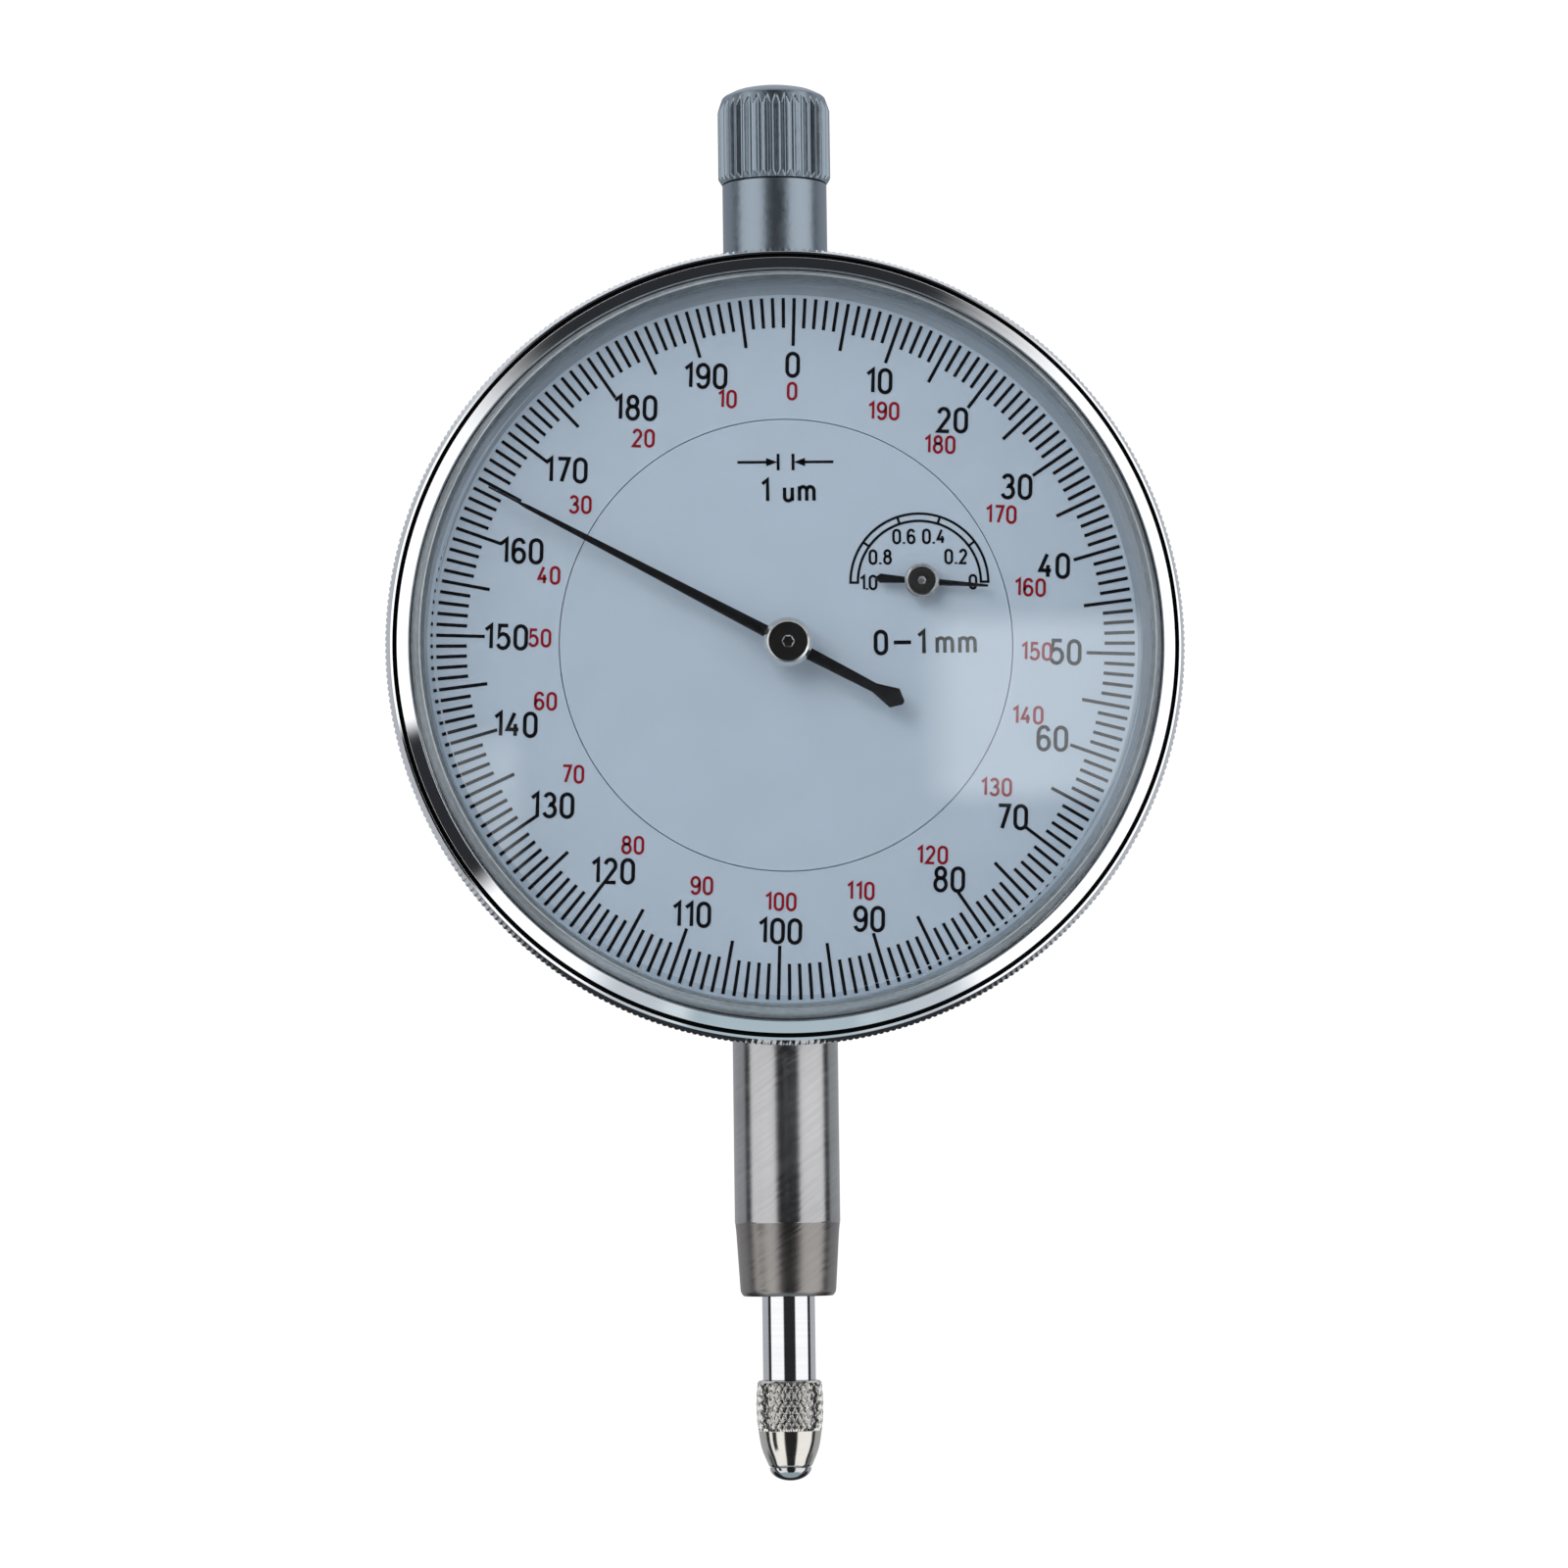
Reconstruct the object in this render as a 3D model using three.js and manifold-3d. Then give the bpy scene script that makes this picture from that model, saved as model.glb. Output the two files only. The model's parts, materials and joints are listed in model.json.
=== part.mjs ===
// A plunger dial indicator: 0.001 mm divisions, 1 mm of travel, a 60 mm bezel and an 8 mm stem.
// Millimetres, +Z up along the spindle, the dial faces -Y. The origin is on the spindle's axis at
// the middle of the stem's clamping length. Below, heights are measured from the dial's centre,
// which is DIAL_HEIGHT above the origin, and every angle is measured counter-clockwise from +X as
// the dial is read.

import * as THREE from 'three';
import { mergeVertices } from 'three/addons/utils/BufferGeometryUtils.js';
import Module from 'manifold-3d';

const wasm = await Module();
wasm.setup();

// ---------------------------------------------------------------- driving dimensions

const DIAL_HEIGHT = 36;
const TRAVEL = 1.1;
const GAP = 0.15;
const RIM_SEGMENTS = 48;
const ROD_SEGMENTS = 20;
const SMALL_SEGMENTS = 10;

// Layers, front to back. The crystal is the foremost face and the back cover the rearmost.
const CRYSTAL_FRONT = -13.7;
const CRYSTAL_INNER = -12.2;
const MAIN_HUB_FRONT = -11.8;
const MAIN_HAND_FRONT = -10.85;
const MAIN_HAND_BACK = -10.6;
const COUNTER_HUB_FRONT = -10.42;
const COUNTER_HAND_FRONT = -9.95;
const COUNTER_HAND_BACK = -9.7;
const DIAL_FRONT = -9.0;
const DIAL_BACK = -8.5;
const CASE_FRONT = -8.2;
const CASE_FLOOR_BACK = -7.1;
const FRONT_PLATE = [-6.8, -6.0];
const FRONT_WHEEL = [-5.6, -5.1];
const REAR_WHEEL = [-4.6, -4.1];
const REAR_PLATE = [-3.2, -2.4];
const LEVER = [-2.1, -0.9];
const CASE_SHOULDER = -4.6;
const CASE_BACK = 6.4;
const COVER = [6.6, 8.1];
const LUG_BASE = [8.3, 10.0];

// Bezel, crystal and case, by radius.
const BEZEL_RADIUS = 30;
const BEZEL_BACK = -5.0;
const BEZEL_SEAT_RADIUS = 28.1;
const BEZEL_BORE = 25.7;
const BEZEL_FACE_RADIUS = 29.1;
const BEZEL_RIM_RADIUS = 29.4;
const SNAP_GROOVE = { front: -6.95, back: -6.05, depth: 0.5 };
const CRYSTAL_RADIUS = 27.9;
const CRYSTAL_FLAT_RADIUS = 26.3;
const CRYSTAL_SHOULDER_RADIUS = 27.4;
const CASE_RADIUS = 27.5;
const CASE_BORE = 23.6;
const NECK_RADIUS = 25.4;
const DIAL_SPLIT_RADIUS = 17.0;
const PLATE_RADIUS = 22.4;

// Stem, spindle and contact.
const STEM_RADIUS = 4;
const SPINDLE_RADIUS = 2;
const SPINDLE_BORE = 2.15;
const STEM_END = -48.65;
const STEM_TAPER_START = -43.05;
const SPINDLE_END = -54.75;
const SPINDLE_TOP = 41.8;
const CONTACT_TOP = -54.9;
const CONTACT_CONE_END = -61.45;
const CONTACT_END = -62.55;
const CAP_BOTTOM = 36.4;
const CAP_TOP = 43.88;
const CAP_RADIUS = 4.3;

// The gear train: one millimetre of spindle turns the sector 15 degrees, the counter arbor half a
// turn and the centre arbor five turns.
const MODULE = 0.2025;
const CENTRE_TEETH = 10;
const WHEEL_TEETH = 100;
const PINION_TEETH = 16;
const SECTOR_FULL_TEETH = 192;
const LEVER_LENGTH = 12 / Math.PI;
const SECTOR_SWING = THREE.MathUtils.degToRad(15 * TRAVEL);
const TOOTH_HEAD = 0.12;
const TOOTH_FOOT = 0.19;
const ARBOR_RADIUS = 0.5;
const ARBOR_BORE = 0.64;
const ARBOR_FRONT = -6.9;
const ARBOR_BACK = -2.35;
const JEWEL_RADIUS = 1.15;

// Tooth widths at the root and at the tip. The wheels' fine teeth come to a point.
const WHEEL_TOOTH = { root: 0.38, tip: 0 };
const PINION_TOOTH = { root: 0.34, tip: 0.14 };
const CENTRE_TOOTH = { root: 0.27, tip: 0.12 };

const COUNTER_ANGLE = THREE.MathUtils.degToRad(24.5);
const SECTOR_MESH_ANGLE = THREE.MathUtils.degToRad(82.3);
const MAIN_HAND_ANGLE = THREE.MathUtils.degToRad(151.9);
const COUNTER_HAND_ANGLE = THREE.MathUtils.degToRad(-4.4);

const pitchRadius = (teeth) => MODULE * teeth / 2;
const polar = (radius, angle) => new THREE.Vector2(radius * Math.cos(angle), radius * Math.sin(angle));

const WHEEL_DISTANCE = pitchRadius(CENTRE_TEETH + WHEEL_TEETH);
const SECTOR_DISTANCE = pitchRadius(SECTOR_FULL_TEETH + PINION_TEETH);
const CENTRE = new THREE.Vector2(0, 0);
const COUNTER = polar(WHEEL_DISTANCE, COUNTER_ANGLE);
const TAKEUP = new THREE.Vector2(-COUNTER.x, COUNTER.y);
const SECTOR = COUNTER.clone().sub(polar(SECTOR_DISTANCE, SECTOR_MESH_ANGLE));

// The lever swings as far above the horizontal as below it, so its rise stays even with the spindle.
const LEVER_ANGLE = Math.PI + SECTOR_SWING / 2;
const PUSH_PIN_RADIUS = 0.5;
const PUSH_PIN = SECTOR.clone().add(polar(LEVER_LENGTH, LEVER_ANGLE));

const PILLARS = [
  new THREE.Vector2(-9, -14),
  new THREE.Vector2(17.5, -9.5),
  new THREE.Vector2(-5.5, 16.5),
];
const PILLAR_RADIUS = 1.5;
const CASE_SCREW = { head: 1.6, shank: 0.75, hole: 0.95 };
const PLATE_SCREW = { head: 1.2, shank: 0.55, hole: 0.7 };
const COVER_SCREW_CIRCLE = 25.6;
const LUG_SCREW_OFFSET = 5.3;
const LUG_HOLE_CENTRE = 15.6;
const LUG_HOLE_RADIUS = 3.25;
const LUG_EYE_RADIUS = 6.2;
const LUG_THICKNESS = 5;

const GUIDE_PIN = { y: 0.8, z: -18.8, radius: 0.5, left: -7.4, right: -2.5 };
const GUIDE_BAR = { x: [-7.8, -5.2], y: [-2.2, 3.0], z: [-21.2, -15.4] };
const CARRIER = { x: [-3.2, 4.6], y: [-2.1, 3.2], z: [-20.4, -17.5] };
const SPRING = { x: -5, y: 0.9, radius: 1.3, bottom: -9.2, top: 8.8 };
const HOOK = { x: [-6.2, 3.0], y: [-2.1, 3.0], z: [9.0, 11.0] };

// ---------------------------------------------------------------- surfaces

const LOOKS = {
  satinSteel: { color: 0x9fa4aa, roughness: 0.32, metalness: 1 },
  polishedSteel: { color: 0xc9cdd2, roughness: 0.1, metalness: 1 },
  chrome: { color: 0xdfe3e8, roughness: 0.06, metalness: 1 },
  casing: { color: 0xa9b0b8, roughness: 0.35, metalness: 1 },
  brass: { color: 0xc8a24e, roughness: 0.3, metalness: 1 },
  bronze: { color: 0xa9794a, roughness: 0.4, metalness: 1 },
  ruby: { color: 0x9c1433, roughness: 0.08, metalness: 0 },
  dialPaint: { color: 0xacbccd, roughness: 0.55, metalness: 0 },
  handBlack: { color: 0x0a0a0c, roughness: 0.18, metalness: 0 },
  crystal: { color: 0xf2f6fa, roughness: 0.03, metalness: 0, transparent: true, opacity: 0.25 },
};

// ---------------------------------------------------------------- solids

// Drops everything but position, merges shared corners, and turns the faces outward.
function clean(geometry) {
  geometry.deleteAttribute('normal');
  geometry.deleteAttribute('uv');
  const merged = mergeVertices(geometry);
  const position = merged.attributes.position;
  const corner = [new THREE.Vector3(), new THREE.Vector3(), new THREE.Vector3()];
  const faces = [];
  let volume = 0;
  for (let i = 0; i < merged.index.count; i += 3) {
    const face = [0, 1, 2].map((k) => merged.index.getX(i + k));
    if (face[0] === face[1] || face[1] === face[2] || face[2] === face[0]) continue;
    face.forEach((vertex, k) => corner[k].fromBufferAttribute(position, vertex));
    volume += corner[0].dot(corner[1].clone().cross(corner[2]));
    faces.push(face);
  }
  const outward = volume > 0 ? faces : faces.map((face) => [face[0], face[2], face[1]]);
  merged.setIndex(outward.flat());
  return merged;
}

function toSolid(geometry) {
  const plain = clean(geometry);
  return new wasm.Manifold(new wasm.Mesh({
    numProp: 3,
    vertProperties: new Float32Array(plain.attributes.position.array),
    triVerts: new Uint32Array(plain.index.array),
  }));
}

function toGeometry(solid) {
  const mesh = solid.getMesh();
  const geometry = new THREE.BufferGeometry();
  geometry.setAttribute('position', new THREE.BufferAttribute(mesh.vertProperties, 3));
  geometry.setIndex(new THREE.BufferAttribute(mesh.triVerts, 1));
  return geometry;
}

function cut(geometry, ...tools) {
  return toGeometry(tools.reduce((left, tool) => left.subtract(toSolid(tool)), toSolid(geometry)));
}

function join(...geometries) {
  return toGeometry(geometries.map(toSolid).reduce((sum, solid) => sum.add(solid)));
}

// A profile of [radius, height] points turned about the Y axis. It starts and ends on the axis, or
// it is closed here.
function turned(profile, segments) {
  const points = profile.map(([radius, height]) => new THREE.Vector2(radius, height));
  if (points[0].x > 0) points.push(points[0].clone());
  return clean(new THREE.LatheGeometry(points, segments));
}

// The same, turned about the spindle's axis.
function turnedUpright(profile, segments) {
  return turned(profile, segments).rotateX(Math.PI / 2);
}

// An outline drawn as the dial is read, as a plate between two layers.
function plate(shape, [front, back]) {
  const geometry = new THREE.ExtrudeGeometry(shape, { depth: back - front, bevelEnabled: false });
  return clean(geometry.rotateX(Math.PI / 2).translate(0, back, 0));
}

function rod(radius, [front, back], segments = SMALL_SEGMENTS) {
  return turned([[0, front], [radius, front], [radius, back], [0, back]], segments);
}

function rodAt(centre, radius, layer, segments = SMALL_SEGMENTS) {
  return rod(radius, layer, segments).translate(centre.x, 0, centre.y);
}

function uprightRod(radius, [bottom, top], segments = ROD_SEGMENTS) {
  return turnedUpright([[0, bottom], [radius, bottom], [radius, top], [0, top]], segments);
}

function collar(outer, inner, [front, back], segments = SMALL_SEGMENTS) {
  return turned([[inner, front], [outer, front], [outer, back], [inner, back]], segments);
}

function block({ x, y, z }) {
  const geometry = new THREE.BoxGeometry(x[1] - x[0], y[1] - y[0], z[1] - z[0]);
  return geometry.translate((x[0] + x[1]) / 2, (y[0] + y[1]) / 2, (z[0] + z[1]) / 2);
}

function circle(radius, segments, centre = CENTRE) {
  return Array.from({ length: segments }, (_, i) => polar(radius, 2 * Math.PI * i / segments).add(centre));
}

function circleHole(centre, radius, segments = SMALL_SEGMENTS) {
  return new THREE.Path(circle(radius, segments, centre));
}

// ---------------------------------------------------------------- the scene graph

const indicator = new THREE.Group();
const instrument = new THREE.Group();
instrument.position.z = DIAL_HEIGHT;
indicator.add(instrument);

const groups = {};
for (const name of ['casing', 'spindle', 'sector', 'counter', 'centre', 'takeup', 'bezel']) {
  groups[name] = new THREE.Group();
  instrument.add(groups[name]);
}
groups.sector.position.set(SECTOR.x, 0, SECTOR.y);
groups.counter.position.set(COUNTER.x, 0, COUNTER.y);
groups.takeup.position.set(TAKEUP.x, 0, TAKEUP.y);

function piece(name, group, geometry, look, place = CENTRE) {
  const mesh = new THREE.Mesh(geometry, new THREE.MeshStandardMaterial(LOOKS[look]));
  mesh.name = name;
  mesh.position.set(place.x, 0, place.y);
  groups[group].add(mesh);
  return mesh;
}

// ---------------------------------------------------------------- casing

function caseShell() {
  const drum = turned([
    [0, CASE_FRONT], [NECK_RADIUS, CASE_FRONT],
    [NECK_RADIUS, SNAP_GROOVE.front], [NECK_RADIUS - SNAP_GROOVE.depth, SNAP_GROOVE.front],
    [NECK_RADIUS - SNAP_GROOVE.depth, SNAP_GROOVE.back], [NECK_RADIUS, SNAP_GROOVE.back],
    [NECK_RADIUS, CASE_SHOULDER], [CASE_RADIUS, CASE_SHOULDER], [CASE_RADIUS, CASE_BACK],
    [CASE_BORE, CASE_BACK], [CASE_BORE, CASE_FLOOR_BACK], [0, CASE_FLOOR_BACK],
  ], RIM_SEGMENTS);
  const arborHole = 1.2;
  const floor = [CASE_FRONT - 1, CASE_FLOOR_BACK + 1];
  const stemHole = STEM_RADIUS + 0.25;
  const screwHoles = screwPlaces().map((place) => rodAt(place, CASE_SCREW.hole, [2.2, CASE_BACK + 1]));
  return cut(
    drum,
    rodAt(CENTRE, arborHole, floor),
    rodAt(COUNTER, arborHole, floor),
    uprightRod(stemHole, [-CASE_RADIUS - 2, -CASE_BORE + 2]),
    uprightRod(stemHole, [CASE_BORE - 2, CASE_RADIUS + 2]),
    ...screwHoles,
  );
}

function screwPlaces() {
  return [1, 3, 5, 7].map((eighth) => polar(COVER_SCREW_CIRCLE, eighth * Math.PI / 4));
}

function backCover() {
  const outline = new THREE.Shape(circle(CASE_RADIUS - 0.2, RIM_SEGMENTS));
  screwPlaces().forEach((place) => outline.holes.push(circleHole(place, CASE_SCREW.hole)));
  for (const side of [-1, 1]) {
    outline.holes.push(circleHole(new THREE.Vector2(side * LUG_SCREW_OFFSET, 0), CASE_SCREW.hole));
  }
  return plate(outline, COVER);
}

function panHeadScrew({ head, shank }, [tip, seat, top]) {
  const edge = 0.25;
  return turned([
    [0, tip], [shank, tip], [shank, seat],
    [head, seat], [head, top - edge], [head - edge, top], [0, top],
  ], SMALL_SEGMENTS);
}

// The eye's hole runs along X, so the lug can hang on a clamp bolt on either side of the dial.
function mountingLug() {
  const [base, step] = LUG_BASE;
  const half = 7.5;
  const profile = new THREE.Shape();
  profile.moveTo(base, -half);
  profile.lineTo(step, -half);
  profile.absarc(LUG_HOLE_CENTRE, 0, LUG_EYE_RADIUS, -Math.PI * 0.62, Math.PI * 0.62, false);
  profile.lineTo(step, half);
  profile.lineTo(base, half);
  profile.holes.push(circleHole(new THREE.Vector2(LUG_HOLE_CENTRE, 0), LUG_HOLE_RADIUS, ROD_SEGMENTS));
  const eye = new THREE.ExtrudeGeometry(profile, { depth: LUG_THICKNESS, bevelEnabled: false });
  eye.translate(0, 0, -LUG_THICKNESS / 2);
  eye.applyMatrix4(new THREE.Matrix4().makeBasis(
    new THREE.Vector3(0, 1, 0), new THREE.Vector3(0, 0, 1), new THREE.Vector3(1, 0, 0)));
  const foot = block({ x: [-half, half], y: LUG_BASE, z: [-half - 1, half + 1] });
  const screwHoles = [-1, 1].map((side) => rodAt(
    new THREE.Vector2(side * LUG_SCREW_OFFSET, 0), CASE_SCREW.hole, [base - 1, step + 1]));
  return cut(join(eye, foot), ...screwHoles);
}

function stem() {
  const bore = 3.0;
  return turnedUpright([
    [STEM_RADIUS, -CASE_BORE - 0.2], [STEM_RADIUS, STEM_TAPER_START],
    [3.62, STEM_END + 0.35], [3.4, STEM_END],
    [bore, STEM_END], [bore, -CASE_BORE - 0.2],
  ], ROD_SEGMENTS);
}

function upperSleeve() {
  const shoulder = CAP_BOTTOM - 0.2;
  const neck = 3.2;
  const bore = 2.75;
  return turnedUpright([
    [STEM_RADIUS, CASE_BORE + 0.2], [STEM_RADIUS, shoulder], [neck, shoulder],
    [neck, 40], [bore, 40], [bore, CASE_BORE + 0.2],
  ], ROD_SEGMENTS);
}

function bushing(outer, [bottom, top]) {
  return turnedUpright([
    [outer, bottom], [outer, top], [SPINDLE_BORE, top], [SPINDLE_BORE, bottom],
  ], ROD_SEGMENTS);
}

function movementPlate(layer) {
  const outline = new THREE.Shape(circle(PLATE_RADIUS, RIM_SEGMENTS));
  for (const arbor of [CENTRE, COUNTER, TAKEUP, SECTOR]) {
    outline.holes.push(circleHole(arbor, JEWEL_RADIUS + GAP));
  }
  if (layer === REAR_PLATE) {
    PILLARS.forEach((place) => outline.holes.push(circleHole(place, PLATE_SCREW.hole)));
  }
  return plate(outline, layer);
}

function pillar() {
  const front = FRONT_PLATE[1] + 0.1;
  const back = REAR_PLATE[0] - 0.1;
  return turned([
    [0, front], [PILLAR_RADIUS, front], [PILLAR_RADIUS, back],
    [PLATE_SCREW.hole, back], [PLATE_SCREW.hole, back - 1.6], [0, back - 1.6],
  ], SMALL_SEGMENTS);
}

function dialDisc() {
  const outline = new THREE.Shape(circle(DIAL_SPLIT_RADIUS - 0.1, RIM_SEGMENTS));
  outline.holes.push(circleHole(CENTRE, 0.9), circleHole(COUNTER, 0.9));
  return plate(outline, [DIAL_FRONT, DIAL_BACK]);
}

function guideBar() {
  const clearance = GUIDE_PIN.radius + 0.2;
  const slot = {
    x: [GUIDE_BAR.x[0] - 1, GUIDE_BAR.x[1] + 1],
    y: [GUIDE_PIN.y - clearance, GUIDE_PIN.y + clearance],
    z: [GUIDE_PIN.z - clearance, GUIDE_PIN.z + TRAVEL + clearance],
  };
  return cut(block(GUIDE_BAR), block(slot));
}

// A flat spiral ribbon from the collet to the stud.
function hairspring() {
  const turns = 3;
  const stepsPerTurn = 16;
  const inner = 1.6;
  const outer = 4.4;
  const ribbon = 0.16;
  const steps = turns * stepsPerTurn;
  const edge = (offset) => Array.from({ length: steps + 1 }, (_, i) => {
    const radius = inner + (outer - inner) * i / steps + offset;
    return polar(radius, Math.PI + 2 * Math.PI * i / stepsPerTurn);
  });
  const outline = new THREE.Shape([...edge(ribbon / 2), ...edge(-ribbon / 2).reverse()]);
  return plate(outline, [FRONT_WHEEL[0] - 0.1, FRONT_WHEEL[1] - 0.15]);
}

function buildCasing() {
  piece('case_shell', 'casing', caseShell(), 'casing');
  piece('back_cover', 'casing', backCover(), 'casing');
  piece('mounting_lug', 'casing', mountingLug(), 'satinSteel');
  screwPlaces().forEach((place, i) => {
    const layers = [2.6, COVER[1] + 0.1, COVER[1] + 0.9];
    piece(`cover_screw_${i + 1}`, 'casing', panHeadScrew(CASE_SCREW, layers), 'polishedSteel', place);
  });
  [-1, 1].forEach((side, i) => {
    const place = new THREE.Vector2(side * LUG_SCREW_OFFSET, 0);
    const layers = [5.5, LUG_BASE[1] + 0.1, LUG_BASE[1] + 0.9];
    piece(`lug_screw_${i + 1}`, 'casing', panHeadScrew(CASE_SCREW, layers), 'polishedSteel', place);
  });
  piece('stem', 'casing', stem(), 'satinSteel');
  piece('stem_bushing', 'casing', bushing(2.85, [STEM_END + 0.1, -38]), 'bronze');
  piece('upper_sleeve', 'casing', upperSleeve(), 'satinSteel');
  piece('upper_bushing', 'casing', bushing(2.6, [31, 39.9]), 'bronze');
  piece('front_plate', 'casing', movementPlate(FRONT_PLATE), 'brass');
  piece('rear_plate', 'casing', movementPlate(REAR_PLATE), 'brass');
  PILLARS.forEach((place, i) => {
    const layers = [REAR_PLATE[0] - 1.5, REAR_PLATE[1] + 0.1, REAR_PLATE[1] + 0.7];
    piece(`pillar_${i + 1}`, 'casing', pillar(), 'brass', place);
    piece(`plate_screw_${i + 1}`, 'casing', panHeadScrew(PLATE_SCREW, layers), 'satinSteel', place);
  });
  const arbors = { centre: CENTRE, counter: COUNTER, takeup: TAKEUP, sector: SECTOR };
  for (const [name, place] of Object.entries(arbors)) {
    for (const [side, layer] of [['front', FRONT_PLATE], ['rear', REAR_PLATE]]) {
      const inside = [layer[0] + 0.05, layer[1] - 0.05];
      piece(`${name}_jewel_${side}`, 'casing', collar(JEWEL_RADIUS, ARBOR_BORE, inside), 'ruby', place);
    }
  }
  piece('dial_disc', 'casing', dialDisc(), 'dialPaint');
  piece('guide_bar', 'casing', guideBar(), 'satinSteel');
  const postPlace = new THREE.Vector2(SPRING.x, SPRING.bottom - 0.8);
  piece('spring_post', 'casing', rod(0.6, [REAR_PLATE[1] + GAP, 2.2]), 'polishedSteel', postPlace);
  const spring = uprightRod(SPRING.radius, [SPRING.bottom, SPRING.top], SMALL_SEGMENTS);
  piece('measuring_spring', 'casing', spring.translate(SPRING.x, SPRING.y, 0), 'polishedSteel');
  piece('hairspring', 'casing', hairspring(), 'polishedSteel', TAKEUP);
  const studPlace = TAKEUP.clone().add(new THREE.Vector2(-5.1, 0));
  piece('hairspring_stud', 'casing', rod(0.4, [FRONT_PLATE[1] + 0.1, FRONT_WHEEL[1]]), 'brass', studPlace);
}

// ---------------------------------------------------------------- spindle

function spindleRod() {
  const socket = 1.35;
  const socketTop = SPINDLE_END + 3.3;
  return turnedUpright([
    [0, socketTop], [socket, socketTop], [socket, SPINDLE_END],
    [SPINDLE_RADIUS, SPINDLE_END], [SPINDLE_RADIUS, SPINDLE_TOP], [0, SPINDLE_TOP],
  ], ROD_SEGMENTS);
}

function contactPoint() {
  const stub = 1.2;
  const tipBore = 1.05;
  return turnedUpright([
    [0, CONTACT_TOP + 3.2], [stub, CONTACT_TOP + 3.2], [stub, CONTACT_TOP],
    [2.1, CONTACT_TOP], [2.45, CONTACT_TOP - 0.35], [2.56, CONTACT_TOP - 2.2],
    [2.45, CONTACT_TOP - 3.7], [2.16, CONTACT_TOP - 5.2], [1.62, CONTACT_CONE_END],
    [tipBore, CONTACT_CONE_END], [tipBore, CONTACT_CONE_END + 1.8], [0, CONTACT_CONE_END + 1.8],
  ], ROD_SEGMENTS);
}

// A hard-metal dome on a short shank.
function contactTip() {
  const shank = 0.9;
  const base = CONTACT_CONE_END - 0.1;
  const baseRadius = 1.6;
  const sag = base - CONTACT_END;
  const sphere = (baseRadius ** 2 + sag ** 2) / (2 * sag);
  const steps = 5;
  const spread = Math.asin(baseRadius / sphere);
  const dome = Array.from({ length: steps + 1 }, (_, i) => {
    const angle = spread * (1 - i / steps);
    return [i === steps ? 0 : sphere * Math.sin(angle), CONTACT_END + sphere * (1 - Math.cos(angle))];
  });
  return turnedUpright([[0, base + 1.7], [shank, base + 1.7], [shank, base], ...dome], ROD_SEGMENTS);
}

function liftCap() {
  const skirt = 3.45;
  const ceiling = 40.4;
  return turnedUpright([
    [0, CAP_TOP], [1.9, CAP_TOP], [3.8, CAP_TOP - 0.68], [3.95, CAP_TOP - 0.83], [CAP_RADIUS, CAP_TOP - 1.83],
    [CAP_RADIUS, CAP_BOTTOM + 0.48], [CAP_RADIUS - 0.27, CAP_BOTTOM],
    [skirt, CAP_BOTTOM], [skirt, ceiling], [SPINDLE_BORE, ceiling],
    [SPINDLE_BORE, SPINDLE_TOP + 0.2], [0, SPINDLE_TOP + 0.2],
  ], ROD_SEGMENTS);
}

function spindleCarrier() {
  const ear = {
    x: [2.3, CARRIER.x[1]],
    y: [LEVER[1] + 0.35, 1.4],
    z: [CARRIER.z[1] - 0.5, PUSH_PIN.y + 1.2],
  };
  const guideHole = uprightRod(GUIDE_PIN.radius + GAP, [0, 2], SMALL_SEGMENTS)
    .rotateY(-Math.PI / 2)
    .translate(GUIDE_PIN.right + GAP, GUIDE_PIN.y, GUIDE_PIN.z);
  return cut(
    join(block(CARRIER), block(ear)),
    uprightRod(SPINDLE_BORE, [CARRIER.z[0] - 1, ear.z[1] + 1]),
    rodAt(PUSH_PIN, PUSH_PIN_RADIUS + GAP, [ear.y[0] - 1, ear.y[1] + 1]),
    guideHole,
  );
}

function guidePin() {
  const length = GUIDE_PIN.right - GUIDE_PIN.left;
  return uprightRod(GUIDE_PIN.radius, [0, length], SMALL_SEGMENTS)
    .rotateY(-Math.PI / 2)
    .translate(GUIDE_PIN.right, GUIDE_PIN.y, GUIDE_PIN.z);
}

function springHook() {
  return cut(block(HOOK), uprightRod(SPINDLE_BORE, [HOOK.z[0] - 1, HOOK.z[1] + 1]));
}

function buildSpindle() {
  piece('spindle_rod', 'spindle', spindleRod(), 'polishedSteel');
  piece('contact_point', 'spindle', contactPoint(), 'polishedSteel');
  piece('contact_tip', 'spindle', contactTip(), 'satinSteel');
  piece('lift_cap', 'spindle', liftCap(), 'satinSteel');
  piece('spindle_carrier', 'spindle', spindleCarrier(), 'brass');
  piece('push_pin', 'spindle', rod(PUSH_PIN_RADIUS, [LEVER[0] + 0.1, 1.0]), 'polishedSteel', PUSH_PIN);
  piece('guide_pin', 'spindle', guidePin(), 'polishedSteel');
  piece('spring_hook', 'spindle', springHook(), 'brass');
}

// ---------------------------------------------------------------- gear train

// Straight-flanked teeth, narrower than their spaces. The first one is centred on the given angle.
function toothCorners(teeth, first, width, count = teeth) {
  const root = pitchRadius(teeth) - TOOTH_FOOT;
  const tip = pitchRadius(teeth) + TOOTH_HEAD;
  const corners = [];
  for (let i = 0; i < count; i += 1) {
    const middle = first + 2 * Math.PI * i / teeth;
    const atRoot = width.root / 2 / root;
    const atTip = width.tip / 2 / tip;
    const head = atTip > 0 ? [-atTip, atTip] : [0];
    corners.push(polar(root, middle - atRoot));
    corners.push(...head.map((offset) => polar(tip, middle + offset)));
    corners.push(polar(root, middle + atRoot));
  }
  return corners;
}

function wheel(first, layer) {
  const outline = new THREE.Shape(toothCorners(WHEEL_TEETH, first, WHEEL_TOOTH));
  outline.holes.push(circleHole(CENTRE, ARBOR_BORE));
  return plate(outline, layer);
}

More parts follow.
